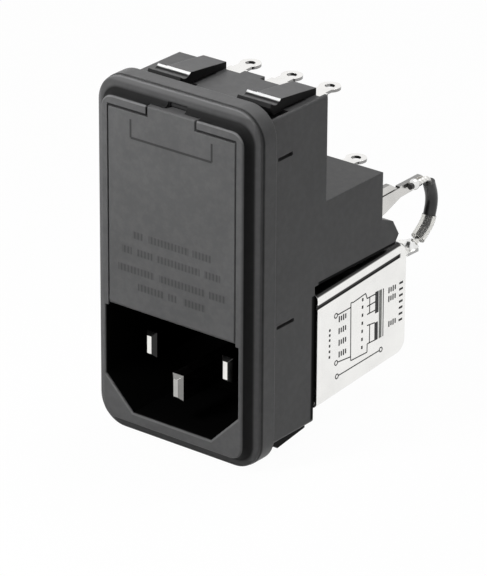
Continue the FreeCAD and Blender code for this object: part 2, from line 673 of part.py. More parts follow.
def strip(name, label, side, points):
    # flat stamped contact, drawn from the side and as thick as the sheet
    body = newBody(name)
    grow(body, name + "Blank", "side", side, dim("contactThick"), lambda s: polygon(s, points))
    return keep(body, label)


def fuseContacts():
    tall = dim("contactTall") / 2
    foot, cap = dim("footFront"), fuseY + dim("fuseCap") / 2
    roof = upperTabLevel
    backEnd, frontEnd = spineBack + legWide, spineFront + legWide
    strip("NeutralOut", "neutral_out_contact", contactInner, [
        (foot, fuseLow - tall), (backEnd, fuseLow - tall), (backEnd, roof), (spineBack, roof),
        (spineBack, fuseLow + tall), (foot, fuseLow + tall)])
    strip("LineOut", "line_out_contact", contactInner, [
        (foot, fuseHigh - tall), (cap, fuseHigh - tall), (cap, fuseHigh + tall),
        (frontEnd, fuseHigh + tall), (frontEnd, roof), (spineFront, roof),
        (spineFront, fuseHigh + tall), (foot, fuseHigh + tall)])
    jogHigh, jogLow = Size.of(5.6), Size.of(1.4)
    strip("LineFeed", "line_feed_contact", -contactOuter, [
        (foot, fuseHigh - tall), (spineBack, fuseHigh - tall), (spineBack, jogHigh - legWide),
        (feedBackY, jogHigh - legWide), (feedBackY, boardTop), (feedBackY + legWide, boardTop),
        (feedBackY + legWide, jogHigh), (backEnd, jogHigh), (backEnd, fuseHigh + tall),
        (foot, fuseHigh + tall)])
    strip("NeutralFeed", "neutral_feed_contact", -contactOuter, [
        (foot, fuseLow - tall), (spineFront, fuseLow - tall), (spineFront, jogLow - legWide),
        (feedFrontY, jogLow - legWide), (feedFrontY, boardTop), (feedFrontY + legWide, boardTop),
        (feedFrontY + legWide, jogLow), (frontEnd, jogLow), (frontEnd, fuseLow - tall),
        (cap, fuseLow - tall), (cap, fuseLow + tall), (foot, fuseLow + tall)])
    # selector common: from the left upper tab down behind the drawer and over the band
    bandEnd = dim("bandFront") + dim("bandLong")
    reach = selectorZ + dim("drumDia") / 2
    strip("Common", "selector_common_contact", dim("tabLeft") - dim("contactThick") / 2, [
        (spineBack + 1.0, roof), (spineBack + 1.0, reach + 0.5), (dim("bandFront"), reach + 0.5),
        (dim("bandFront"), reach - 0.4), (bandEnd, reach - 0.4), (bandEnd, reach + 0.9),
        (upperWellRear - 0.2, reach + 0.9), (upperWellRear - 0.2, roof)])


def ringTab(name, label, centre, level, start, wallRear, arm=None):
    body = newBody(name)
    halfTab = dim("tabWide") / 2
    eye = wallRear + dim("tabReach")
    grow(body, name + "Blade", "top", level, dim("tabThick"),
         lambda s: rectangle(s, (centre - halfTab, start), (centre + halfTab, wallRear + 1.2)))
    grow(body, name + "Neck", "top", level, dim("tabThick"),
         lambda s: rectangle(s, (centre - halfTab * 0.7, wallRear), (centre + halfTab * 0.7, eye)))
    grow(body, name + "Eye", "top", level, dim("tabThick"),
         lambda s: circle(s, centre, eye, halfTab))
    carve(body, name + "Hole", "top", level + dim("tabThick"), dim("tabThick") + 0.1,
          lambda s: circle(s, centre, eye, dim("tabHole") / 2))
    if arm:
        arm(body)
    return keep(body, label)


def ringTabs():
    level = upperTabLevel
    rear = dim("upperDepth")
    ringTab("TabLeft", "upper_tab_left", dim("tabLeft"), level, spineBack, rear)
    ringTab("TabRight", "upper_tab_right", dim("tabRight"), level, spineBack, rear)
    ringTab("TabMiddle", "upper_tab_middle", dim("tabMiddle"), level, spineFront, rear,
            arm=lambda body: grow(
                body, "TabMiddleArm", "top", level, dim("tabThick"),
                lambda s: rectangle(s, (dim("tabMiddle"), spineFront),
                                    (contactOuter, spineFront + legWide))))
    # the lower tabs end in a leg that stands beside the selector's band
    band = dim("drumDia") / 2 + dim("bandThick")
    legIn, legOut = band + 0.3, band + 0.3 + dim("contactThick")
    legFront = dim("bandFront") + 1.0
    legLong = dim("bandLong") - 2.0
    for name, sign in (("Right", 1), ("Left", -1)):
        low, high = (legIn, legOut) if sign > 0 else (-legOut, -legIn)
        legBottom = selectorZ - 1.5

        def leg(body, low=low, high=high, name=name):
            grow(body, "LowerTabLeg" + name, "top", legBottom,
                 lowerTabLevel - legBottom + 0.1,
                 lambda s: rectangle(s, (low, legFront), (high, legFront + legLong)))
        ringTab("LowerTab" + name, "lower_tab_" + name.lower(), dim("lowerTabSide") * sign,
                lowerTabLevel, legFront, dim("lowerDepth"), arm=leg)


def pins():
    tips = {"Line": dim("pinSetBack"), "Neutral": dim("pinSetBack"), "Earth": dim("earthSetBack")}
    for name, (x, z) in pinPlaces().items():
        body = newBody(name + "Pin")
        tip = front + tips[name]
        tail = dim("inletDepth") + dim("pinTail")
        wide, tall = dim("pinWide") / 2, dim("pinTall") / 2
        grow(body, name + "Bar", "front", tail, tail - tip,
             lambda s: rectangle(s, (x - wide, z - tall), (x + wide, z + tall)))
        soften(body, body.Tip, name + "Tip", dim("pinTip"),
               lambda e: near(e.BoundBox.YMax, tip.value), kind="PartDesign::Chamfer")
        keep(body, name.lower() + "_pin")


def earthBlade():
    body = newBody("EarthBlade")
    start = bladeSide - dim("bladeThick") / 2
    rear = dim("lowerDepth")
    end = dim("bladeEnd")
    grow(body, "BladeBlank", "side", start, dim("bladeThick"), lambda s: polygon(s, [
        (rear - 6.0, bladeLow), (rear + 0.4, bladeLow), (rear + 3.2, bladeLow + 0.65),
        (rear + 6.9, bladeLow + 1.95), (end - 0.4, bladeLow + 2.15), (end, bladeLow + 2.7),
        (end, bladeLow + 3.3), (end - 0.5, bladeLow + 3.75), (rear + 6.0, bladeLow + 3.7),
        (rear + 5.6, bladeHigh - 0.9), (rear + 4.2, bladeHigh), (rear - 6.0, bladeHigh)]))
    carve(body, "BladeSlit", "side", start + dim("bladeThick"), dim("bladeThick"),
          lambda s: polygon(s, [(rear + 0.6, bladeLow + 3.35), (rear + 6.6, bladeLow + 3.5),
                                (rear + 6.6, bladeLow + 3.75), (rear + 0.6, bladeLow + 3.6)]))
    return keep(body, "earth_blade")


def detentSpring():
    body = newBody("DetentSpring")
    drum = dim("drumDia") / 2
    near0, thick = drum + 0.3, 0.25
    middle = selectorZ
    low, high = lowerWellFloor, lowerWellTop
    foot = near0 + 1.7
    grow(body, "SpringBlank", "front", 6.0, 3.0, lambda s: polygon(s, [
        (-foot - thick, low), (-foot, low), (-near0 - 0.3, middle - 1.3), (-near0, middle),
        (-near0 - 0.3, middle + 1.3), (-foot, high), (-foot - thick, high),
        (-near0 - 0.3 - thick, middle + 1.35), (-near0 - thick, middle),
        (-near0 - 0.3 - thick, middle - 1.35)]))
    return keep(body, "detent_spring")


def filterCan():
    # drawn sheet can, open in front and rising to the rear, with rolled edges, a rounder back
    # and a crease along each side under the top roll
    body = newBody("FilterCan")
    halfCan, sheetWall = dim("canWidth") / 2, dim("canWall")
    insideHalf = halfCan - sheetWall
    insideRear = dim("canRear") - sheetWall
    mouth = dim("canFront")

    def sloped(low, high, start, end):
        return [(start, canLevel(low, start)), (end, canLevel(low, end)),
                (end, canLevel(high, end)), (start, canLevel(high, start))]

    grow(body, "CanBlank", "side", -halfCan, halfCan * 2,
         lambda s: polygon(s, sloped(dim("canBottom"), dim("canTop"), mouth, dim("canRear"))))
    inside = carve(body, "CanInside", "side", insideHalf, insideHalf * 2,
                   lambda s: polygon(s, sloped(dim("canBottom") + sheetWall,
                                               dim("canTop") - sheetWall,
                                               mouth - 0.2, insideRear)))
    rear = soften(body, inside, "InnerRear", dim("canRearRadius") - sheetWall,
                  lambda e: straight(e, "x") and near(e.BoundBox.YMin, insideRear.value))
    rolls = soften(body, rear, "InnerRolls", dim("canRoll") - sheetWall,
                   lambda e: near(abs(e.BoundBox.Center.x), insideHalf.value)
                   and near(e.BoundBox.XLength, 0) and near(e.BoundBox.YMin, SIZES["canFront"])
                   and e.BoundBox.YLength > 5.0)
    rear = soften(body, rolls, "CanRear", dim("canRearRadius"),
                  lambda e: straight(e, "x") and near(e.BoundBox.YMin, SIZES["canRear"]))
    soften(body, rear, "CanRolls", dim("canRoll"),
           lambda e: near(abs(e.BoundBox.Center.x), halfCan.value)
           and near(e.BoundBox.YMin, SIZES["canFront"]) and e.BoundBox.YLength > 5.0)
    deep = dim("creaseDeep")
    crease = -dim("creaseDrop")
    for name, start in (("CreaseRight", halfCan + 0.1), ("CreaseLeft", -halfCan + deep)):
        carve(body, name, "side", start, deep + 0.1,
              lambda s: polygon(s, sloped(dim("canTop") + crease - dim("creaseTall"),
                                          dim("canTop") + crease, mouth - 0.1,
                                          dim("canRear") - dim("canRearRadius"))))
    lugHalf = dim("lugWide") / 2
    side = half - dim("lugInset")
    root = dim("canRear") - sheetWall * 0.6
    grow(body, "Lug", "top", dim("lugLevel") - sheetWall, sheetWall,
         lambda s: polygon(s, [
             (side - lugHalf, root), (side + lugHalf - 0.1, root),
             (side + lugHalf, dim("lugEnd") - 1.6), (side + lugHalf - 1.6, dim("lugEnd")),
             (side - lugHalf + 1.6, dim("lugEnd")), (side - lugHalf, dim("lugEnd") - 1.6)]))
    for name, start in (("Front", feedFrontY), ("Back", feedBackY)):
        carve(body, "CanFeed" + name, "top", dim("canTop") + dim("canRise"),
              dim("canRise") + sheetWall + 0.3,
              lambda s: rectangle(s, (-contactOuter - 0.3, start - 0.3),
                                  (-contactInner + 0.3, start + legWide + 0.3)))
    return keep(body, "filter_can")


def box(name, label, low, high):
    # block between two corners
    piece = doc.addObject("Part::Box", name)
    low, high = [Size.of(v) for v in low], [Size.of(v) for v in high]
    for prop, axis in (("Length", 0), ("Width", 1), ("Height", 2)):
        piece.setExpression(prop, (high[axis] - low[axis]).text)
    for key, axis in (("x", 0), ("y", 1), ("z", 2)):
        piece.setExpression(f".Placement.Base.{key}", low[axis].text)
    if label:
        keep(piece, label)
    return piece


def rod(name, radius, low, x, y, height):
    piece = doc.addObject("Part::Cylinder", name)
    piece.setExpression("Radius", Size.of(radius).text)
    piece.setExpression("Height", Size.of(height).text)
    for key, place in (("x", x), ("y", y), ("z", low)):
        piece.setExpression(f".Placement.Base.{key}", Size.of(place).text)
    return piece


def joined(name, label, pieces):
    union = doc.addObject("Part::MultiFuse", name)
    union.Shapes = pieces
    return keep(union, label)


def filterInside():
    gap = 0.1
    insideHalf = dim("canWidth") / 2 - dim("canWall") - gap
    insideRear = dim("canRear") - dim("canWall")
    box("Board", "filter_board", (-insideHalf, spigotRear, boardBottom),
        (insideHalf, insideRear - 2.0, boardTop))
    # ring core under the board, with two windings that leave it bare front and rear
    centreY = spigotRear + dim("coreOuter") / 2 + 3.6
    turn = 0.9
    outer, hole = SIZES["coreOuter"] / 2, SIZES["coreInner"] / 2
    top = boardBottom - turn
    core = tubeUpright("ChokeCore", dim("coreOuter") / 2, dim("coreInner") / 2,
                       top - dim("coreThick"), centreY, dim("coreThick"))
    keep(core, "choke_core")
    for name, turned in (("right", -65), ("left", 115)):
        place = Vector(0, centreY.value, (top - dim("coreThick") - turn).value)
        height = SIZES["coreThick"] + 2 * turn
        shape = Part.makeCylinder(outer + turn, height, place, Vector(0, 0, 1), 130)
        shape = shape.cut(Part.makeCylinder(hole - turn, height, place))
        shape.rotate(place, Vector(0, 0, 1), turned)
        ring = Part.makeCylinder(outer, SIZES["coreThick"], place + Vector(0, 0, turn))
        ring = ring.cut(Part.makeCylinder(hole, SIZES["coreThick"], place + Vector(0, 0, turn)))
        winding = doc.addObject("Part::Feature", "Winding" + name.capitalize())
        winding.Shape = shape.cut(ring)
        keep(winding, "choke_winding_" + name)
    # box capacitor across the line at the rear, on two wires
    capFront = centreY + dim("coreOuter") / 2 + turn + 0.3
    capTop = boardBottom - 1.2
    bodyBox = box("XBox", None, (-9.0, capFront, dim("canBottom") + 2.8),
                  (9.0, capFront + 2.8, capTop))
    wires = [rod("XWire" + tag, 0.35, capTop - 0.5, x, capFront + 1.4, boardBottom - capTop + 0.5)
             for tag, x in (("Left", -7.5), ("Right", 7.5))]
    joined("XCapacitor", "x_capacitor", [bodyBox] + wires)
    # two disc capacitors to earth, beside the core
    for tag, sign in (("left", -1), ("right", 1)):
        middle = boardBottom - 4.3
        start = Size.of(8.2) if sign > 0 else Size.of(-11.2)
        disc = cylinderAcross("Disc" + tag, 3.1, 3.0, start, centreY - 3.2, middle)
        lead = rod("DiscWire" + tag, 0.35, middle + 2.6, start + 1.5, centreY - 3.2, 1.7)
        joined("YCapacitor" + tag.capitalize(), "y_capacitor_" + tag, [disc, lead])
    # bleed resistor lies against the board in front of the core
    keep(cylinderAcross("Resistor", 1.1, 6.4, -3.2, spigotRear + 1.6, boardBottom - 1.1),
         "bleed_resistor")
    earthZ = pinPlaces()["Earth"][1]
    strapRear = spigotRear + 1.3
    box("EarthStrap", "earth_strap",
        (-1.5, strapRear - 0.8, canLevel(dim("canBottom") + dim("canWall"), strapRear)),
        (1.5, strapRear, earthZ - dim("pinTall") / 2))


def tubeUpright(name, outer, inner, low, y, height):
    solids = [rod(name + tag, radius, low, 0, y, height)
              for tag, radius in (("Outer", outer), ("Inner", inner))]
    cut = doc.addObject("Part::Cut", name)
    cut.Base, cut.Tool = solids
    return cut


# ---- jumper from the earth blade to the can's lug --------------------------------------------

def jumperRoute():
    # corners of the lead's centre line, against the outer face of the blade, and the share
    # of the shorter run that each bend trims
    rest = SIZES["leadDia"] / 2
    x = (bladeSide + dim("bladeThick") / 2).value + rest + 0.05
    level = (bladeLow + 3.2).value
    end = SIZES["bladeEnd"]
    points = [(end - 4.2, level), (end + 0.3, level), (end + 1.7, level - 3.7),
              (end + 0.6, level - 7.2), (end - 2.6, SIZES["lugLevel"] + rest + 0.15)]
    return [Vector(x, y, z) for y, z in points], (0.2, 0.45, 0.3)


def roundedPath(points, shares):
    # straight runs joined by tangent arcs
    edges, radii = [], []
    start = points[0]
    for before, corner, after, share in zip(points, points[1:], points[2:], shares):
        into, out = (corner - before), (after - corner)
        trim = share * min(into.Length, out.Length)
        into.normalize()
        out.normalize()
        turn = into.getAngle(out)
        radius = trim / math.tan(turn / 2)
        first, last = corner - into * trim, corner + out * trim
        bisector = (out - into)
        bisector.normalize()
        centre = corner + bisector * (radius / math.cos(turn / 2))
        middle = centre - bisector * radius
        edges.append(Part.LineSegment(start, first).toShape())
        edges.append(Part.Arc(first, middle, last).toShape())
        radii.append(round(radius, 2))
        start = last
    edges.append(Part.LineSegment(start, points[-1]).toShape())
    return edges, radii


def sweep(edges, radius):
    path = Part.Wire(edges)
    first = path.Edges[0]
    start = first.valueAt(first.FirstParameter)
    direction = first.tangentAt(first.FirstParameter)
    section = Part.Wire([Part.makeCircle(radius, start, direction)])
    return path.makePipeShell([section], True, False), path.Length


def jumper():
    route, shares = jumperRoute()
    edges, radii = roundedPath(route, shares)
    lead = SIZES["leadDia"] / 2
    solid, length = sweep(edges, lead)
    expected = math.pi * lead ** 2 * length
    print("jumper length", round(length, 2), "radii", radii,
          "volume ratio", round(solid.Volume / expected, 4))
    wire = doc.addObject("Part::Feature", "JumperWire")
    wire.Shape = solid
    keep(wire, "jumper_wire")
    foot = edges[6]
    sleeved = foot.valueAt(foot.LastParameter - SIZES["bareFoot"])
    lastRun = Part.LineSegment(foot.valueAt(foot.FirstParameter), sleeved).toShape()
    for name, label, part, size in (
            ("BlackSleeve", "black_sleeve", edges[2:5], "sleeveDia"),
            ("ClearSleeve", "clear_sleeve", [edges[5], lastRun], "clearDia")):
        outer, _ = sweep(part, SIZES[size] / 2)
        inner, _ = sweep(part, lead)
        sleeve = doc.addObject("Part::Feature", name)
        sleeve.Shape = outer.cut(inner)
        keep(sleeve, label)
    # solder at both ends: a bead on the blade and a cone on the lug
    bead = Part.makeSphere(0.85, route[0] + Vector(-0.1, 1.2, 0))
    bladeSolid = doc.getObject("EarthBlade").Shape
    joint = doc.addObject("Part::Feature", "BladeSolder")
    joint.Shape = bead.cut(bladeSolid).cut(solid)
    keep(joint, "blade_solder")
    foot = Part.makeCone(1.2, 0.6, 1.0, Vector(route[-1].x - 0.5, route[-1].y - 0.3,
                                               SIZES["lugLevel"]))
    joint = doc.addObject("Part::Feature", "LugSolder")
    joint.Shape = foot.cut(solid)
    keep(joint, "lug_solder")


print("building")
housing()
print("housing built")
flap()
fuseDrawer()
selectorDrum()
revolvedParts()
fuse("lower", fuseLow)
fuse("upper", fuseHigh)
fuseContacts()
ringTabs()
pins()
earthBlade()
detentSpring()
filterCan()
filterInside()
doc.recompute()
jumper()
doc.recompute()
print("all pieces built")

faults = [f"{item.Label}: {item.State}" for item in doc.Objects
          if "Invalid" in item.State or "Error" in item.State]
for node in nodes:
    if node.Shape.isNull() or not node.Shape.isValid():
        faults.append(f"{node.Label}: null or not valid")
    elif not node.Shape.Solids:
        faults.append(f"{node.Label}: no solid")
if faults:
    raise RuntimeError("; ".join(faults))

os.makedirs("parts", exist_ok=True)
for node in nodes:
    node.Shape.exportStep(f"parts/{node.Label}.step")
    box0 = node.Shape.BoundBox
    print(f"{node.Label}: {len(node.Shape.Solids)} solid, {node.Shape.Volume:.1f} mm3, "
          f"x {box0.XMin:.2f}..{box0.XMax:.2f} y {box0.YMin:.2f}..{box0.YMax:.2f} "
          f"z {box0.ZMin:.2f}..{box0.ZMax:.2f}")
print(len(nodes), "nodes written")
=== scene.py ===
import math

import bpy
import numpy as np
from mathutils import Matrix, Vector


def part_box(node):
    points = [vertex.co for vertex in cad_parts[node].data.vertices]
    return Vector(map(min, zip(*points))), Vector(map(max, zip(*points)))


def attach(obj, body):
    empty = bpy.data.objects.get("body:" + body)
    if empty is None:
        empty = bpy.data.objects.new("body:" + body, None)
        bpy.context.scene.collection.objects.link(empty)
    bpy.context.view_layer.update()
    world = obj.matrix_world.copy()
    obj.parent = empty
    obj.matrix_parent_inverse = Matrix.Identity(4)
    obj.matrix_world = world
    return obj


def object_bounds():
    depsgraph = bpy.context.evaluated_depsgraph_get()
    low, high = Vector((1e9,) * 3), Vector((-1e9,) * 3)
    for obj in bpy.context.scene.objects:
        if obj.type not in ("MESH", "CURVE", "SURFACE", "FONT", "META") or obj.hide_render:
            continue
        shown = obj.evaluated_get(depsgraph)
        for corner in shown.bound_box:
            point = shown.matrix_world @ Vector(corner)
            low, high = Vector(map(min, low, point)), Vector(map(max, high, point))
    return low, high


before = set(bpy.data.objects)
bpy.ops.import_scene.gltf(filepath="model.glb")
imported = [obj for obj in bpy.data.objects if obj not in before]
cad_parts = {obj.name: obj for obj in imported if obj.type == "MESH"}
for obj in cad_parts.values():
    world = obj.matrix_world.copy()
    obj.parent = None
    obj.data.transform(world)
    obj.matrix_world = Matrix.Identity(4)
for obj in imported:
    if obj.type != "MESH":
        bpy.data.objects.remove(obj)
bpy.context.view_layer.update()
mm = 0.001
print("frame loaded")


class Sock:
    # wraps one output socket, so that sums and products of sockets add their Math nodes
    def __init__(self, net, socket):
        self.net, self.socket = net, socket

    def op(self, kind, *others, flip=False):
        values = [self, *others]
        if flip:
            values.reverse()
        return self.net.node("ShaderNodeMath", {"operation": kind}, dict(enumerate(values)))

    def __add__(self, other): return self.op("ADD", other)
    def __radd__(self, other): return self.op("ADD", other, flip=True)
    def __sub__(self, other): return self.op("SUBTRACT", other)
    def __rsub__(self, other): return self.op("SUBTRACT", other, flip=True)
    def __mul__(self, other): return self.op("MULTIPLY", other)
    def __rmul__(self, other): return self.op("MULTIPLY", other, flip=True)
    def __truediv__(self, other): return self.op("DIVIDE", other)
    def __rtruediv__(self, other): return self.op("DIVIDE", other, flip=True)
    def __pow__(self, other): return self.op("POWER", other)
    def high(self, other): return self.op("MAXIMUM", other)
    def size(self): return self.op("ABSOLUTE")
    def sine(self): return self.op("SINE")
    def part(self): return self.op("FRACT")

    def band(self, start, end, soft=0.04):
        # 1 between start and end, with soft ends
        return self.step(start - soft, start + soft) * (1 - self.step(end - soft, end + soft))

    def within(self, half):
        # 1 nearer to the middle than half
        return self.size().band(-1, half)

    def step(self, start, end):
        # 0 before start, 1 after end, smooth between
        return self.net.node("ShaderNodeMapRange", {"interpolation_type": "SMOOTHSTEP"},
                             {"Value": self, "From Min": start, "From Max": end})


class Net:
    # the node tree of one material, or of the world
    def __init__(self, name, holders=bpy.data.materials):
        self.holder = holders.new(name)
        self.holder.use_nodes = True
        self.tree = self.holder.node_tree
        self.tree.nodes.clear()

    def node(self, kind, settings=None, inputs=None, output=0):
        made = self.tree.nodes.new(kind)
        for key, value in (settings or {}).items():
            if key == "stops":
                ramp = made.color_ramp
                while len(ramp.elements) < len(value):
                    ramp.elements.new(0.5)
                for element, (place, colour) in zip(ramp.elements, value):
                    element.position = place
                    element.color = (*colour, 1)
            else:
                setattr(made, key, value)
        for key, value in (inputs or {}).items():
            socket = made.inputs[key]
            if isinstance(value, Sock):
                self.tree.links.new(value.socket, socket)
            elif socket.type == "RGBA":
                socket.default_value = (*value[:3], 1)
            else:
                socket.default_value = value
        return Sock(self, made.outputs[output])

    def place(self):
        return self.node("ShaderNodeTexCoord", output="Object")

    def split(self, vector):
        outputs = self.node("ShaderNodeSeparateXYZ", None, {0: vector}).socket.node.outputs
        return [Sock(self, socket) for socket in outputs]

    def axes(self):
        # object coordinates in millimetres
        return [axis * 1000 for axis in self.split(self.place())]

    def facing(self):
        return self.split(self.node("ShaderNodeNewGeometry", output="Normal"))

    def noise(self, scale, detail=3.0, rough=0.5, vector=None):
        return self.node("ShaderNodeTexNoise", None, {
            "Vector": vector or self.place(), "Scale": scale, "Detail": detail,
            "Roughness": rough})

    def stretched(self, *scale):
        return self.node("ShaderNodeMapping", None, {"Vector": self.place(), "Scale": scale})

    def around(self, across, along):
        # turn about an axis, in radians
        return across.op("ARCTAN2", along)

    def mix(self, factor, first, second):
        return self.node("ShaderNodeMix", {"data_type": "RGBA"},
                         {0: factor, 6: first, 7: second}, output=2)

    def rounded(self, width):
        # normal that rounds sharp edges over a width in millimetres
        return self.node("ShaderNodeBevel", {"samples": 6}, {"Radius": width * mm})

    def edges(self, width):
        # 1 along sharp edges, 0 on flats
        flat = self.node("ShaderNodeNewGeometry", output="Normal")
        dot = self.node("ShaderNodeVectorMath", {"operation": "DOT_PRODUCT"},
                        {0: self.rounded(width), 1: flat}, output=1)
        return (1 - dot).step(0.02, 0.25)

    def bump(self, height, strength=0.3, distance=0.1, normal=None):
        inputs = {"Height": height, "Strength": strength, "Distance": distance * mm}
        if normal is not None:
            inputs["Normal"] = normal
        return self.node("ShaderNodeBump", None, inputs)

    def blend(self, factor, first, second):
        return self.node("ShaderNodeMixShader", None, {0: factor, 1: first, 2: second})

    def shade(self, inputs):
        return self.node("ShaderNodeBsdfPrincipled", None, inputs)

    def close(self, shader, kind="ShaderNodeOutputMaterial"):
        out = self.tree.nodes.new(kind)
        self.tree.links.new(shader.socket, out.inputs["Surface"])
        return self.holder


def shaded(tone, share, lift=0.0):
    # a darker or paler tone, kept at 1 or under
    return [min(value * share + lift, 1) for value in tone]


def joined(masks):
    # the largest of several masks
    most, *others = masks
    for mask in others:
        most = most.high(mask)
    return most


def dress(material, *names):
    for name in names:
        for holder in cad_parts[name].material_slots:
            holder.material = material


# camera, floor and light: the camera is set from its fitted turn and distance

view = {"azimuth": 37.874, "elevation": 24.281, "roll": 0.354, "distance": 608.775,
        "across": -10.425, "up": -20.027, "lens": 311.71439, "sensor": 36, "reach": 20,
        "shiftY": 5.1, "shiftZ": 24.0}


def placeCamera():
    az, el, roll = (math.radians(view[key]) for key in ("azimuth", "elevation", "roll"))
    back = Vector((math.sin(az) * math.cos(el), -math.cos(az) * math.cos(el), math.sin(el)))
    flat = Vector((math.cos(az), math.sin(az), 0))
    upright = back.cross(flat)
    right = flat * math.cos(roll) + upright * math.sin(roll)
    up = upright * math.cos(roll) - flat * math.sin(roll)
    turn = Matrix((right, up, back)).transposed().to_4x4()
    centre = back * view["distance"] - right * view["across"] - up * view["up"]
    centre -= Vector((0, view["shiftY"], view["shiftZ"]))
    data = bpy.data.cameras.new("camera")
    data.sensor_fit = "HORIZONTAL"
    data.sensor_width = view["sensor"]
    data.lens = view["lens"]
    data.clip_end = view["reach"]
    camera = bpy.data.objects.new("camera", data)
    camera.matrix_world = Matrix.Translation(centre * mm) @ turn
    bpy.context.scene.collection.objects.link(camera)
    bpy.context.scene.camera = camera


placeCamera()

# each lamp: power in watts, place and size in metres
light = {"key": (0.13, (-0.03, -0.09, 0.092), 0.03), "fill": (0.04, (0.55, -0.25, 0.30), 0.30),
         "top": (1.5, (0.03, 0.25, 0.55), 0.3), "world": 0.185,
         "floorReach": 3.0, "floorGlow": 0.97, "floorTone": 0.9}


def areaLight(name, power, place, size):
    data = bpy.data.lights.new(name, "AREA")
    data.energy = power
    data.size = size
    lamp = bpy.data.objects.new(name, data)
    lamp.location = place
    lamp.rotation_euler = (Vector((0, 0, 0)) - Vector(place)).to_track_quat("-Z", "Y").to_euler()
    bpy.context.scene.collection.objects.link(lamp)


def seenRay(net):
    # 1 for rays that show the surroundings: from the camera, off gloss and through glass
    path = net.node("ShaderNodeLightPath", output="Is Camera Ray").socket.node.outputs
    return Sock(net, path["Is Camera Ray"]).high(Sock(net, path["Is Glossy Ray"])).high(
        Sock(net, path["Is Transmission Ray"]))


def lightScene():
    for name in ("key", "fill", "top"):
        areaLight(name, *light[name])
    net = Net("studio", bpy.data.worlds)
    strength = seenRay(net) * (1 - light["world"]) + light["world"]
    shader = net.node("ShaderNodeBackground", None, {"Color": (1, 1, 1), "Strength": strength})
    bpy.context.scene.world = net.close(shader, "ShaderNodeOutputWorld")
    bpy.context.scene.view_settings.view_transform = "Standard"


def makeFloor():
    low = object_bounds()[0][2]
    reach = light["floorReach"]
    mesh = bpy.data.meshes.new("floor")
    mesh.from_pydata([(-reach, -reach, low), (reach, -reach, low), (reach, reach, low),
                      (-reach, reach, low)], [], [(0, 1, 2, 3)])
    floor = bpy.data.objects.new("floor", mesh)
    bpy.context.scene.collection.objects.link(floor)
    net = Net("paleFloor")
    tone = light["floorTone"]
    lit = net.node("ShaderNodeBsdfDiffuse", None, {"Color": (tone, tone, tone)})
    glow = net.node("ShaderNodeEmission", None, {"Color": (1, 1, 1), "Strength": 1.0})
    mesh.materials.append(net.close(net.blend(seenRay(net) * light["floorGlow"], lit, glow)))


lightScene()
makeFloor()
print("camera and light set")

# black moulding: satin, finely grained, paler on worn edges, with painted highlights and shade

moulding = {"tone": (0.092, 0.092, 0.093), "paler": 1.25, "cloud": 140, "mottle": 900,
            "grain": 4200, "grainDepth": 0.22, "mottleDepth": 0.12, "edge": 0.2,
            "edgeWearAndHighlightLift": 2.5, "paintedHighlightLift": 1.8, "roughness": 0.44, "sheen": 0.13,
            "polish": 0.75, "cutDark": 0.75, "cutTone": 0.25, "cutDepth": 2.2,
            "paintedGlint": (0.85, 0.85, 0.85), "hollow": (0.0012, 0.0012, 0.0012),
            "hollowSheen": 0.03}


def mouldedPlastic(name, tone=moulding["tone"], hollow=None, marks=None, polish=None,
                   paintedHighlight=None, paintedGlint=None):
    # each mask depends on the place, and some on the way a face is turned too: painted shade in
    # the depths, engraved lines, places that the mould left smooth, painted highlights on the
    # crowns, and a painted glint in the smooth latch scoops
    net = Net(name)
    x, y, z = net.axes()
    turned = net.facing()
    broad = net.noise(moulding["cloud"], 4)
    mottle = net.noise(moulding["mottle"], 3, 0.6)
    fine = net.noise(moulding["grain"], 2)
    worn = net.edges(moulding["edge"])
    colour = net.mix(broad.step(0.3, 0.75) * 0.5 + mottle.step(0.35, 0.7) * 0.5, tone,
                     shaded(tone, moulding["paler"]))
    # painted highlight on the crowns
    if paintedHighlight:
        colour = net.mix(paintedHighlight(x, y, z, turned), colour, shaded(tone, moulding["paintedHighlightLift"]))
    # worn edges are paler, partly wear and partly a painted edge highlight
    colour = net.mix(worn * (0.35 + mottle * 0.6), colour, shaded(tone, moulding["edgeWearAndHighlightLift"]))
    rough = moulding["roughness"] + (fine - 0.5) * 0.14 + (broad - 0.5) * 0.12 - worn * 0.08
    height = fine * moulding["grainDepth"] + mottle * moulding["mottleDepth"]
    if polish:
        smooth = polish(y, z)
        rough = rough * (1 - smooth * moulding["polish"])
        height = height * (1 - smooth)
    if marks:
        cut = marks(x, y, z)
        colour = net.mix(cut * moulding["cutDark"], colour, shaded(tone, moulding["cutTone"]))
        height = height - cut * moulding["cutDepth"]
    # painted glint: near white where the scoops would send the key light out
    if paintedGlint:
        colour = net.mix(paintedGlint(x, y, z, turned), colour, moulding["paintedGlint"])
    normal = net.bump(height, 0.3, 0.05, net.rounded(moulding["edge"]))
    shader = net.shade({"Base Color": colour, "Roughness": rough, "Normal": normal,
                        "Specular IOR Level": moulding["sheen"]})
    # painted shade: the hollows are painted near black
    if hollow:
        paintedShadeBlack = net.shade({"Base Color": moulding["hollow"], "Roughness": 0.5 + fine * 0.1,
                          "Specular IOR Level": moulding["hollowSheen"]})
        shader = net.blend(hollow(x, y, z, turned), shader, paintedShadeBlack)
    return net.close(shader)
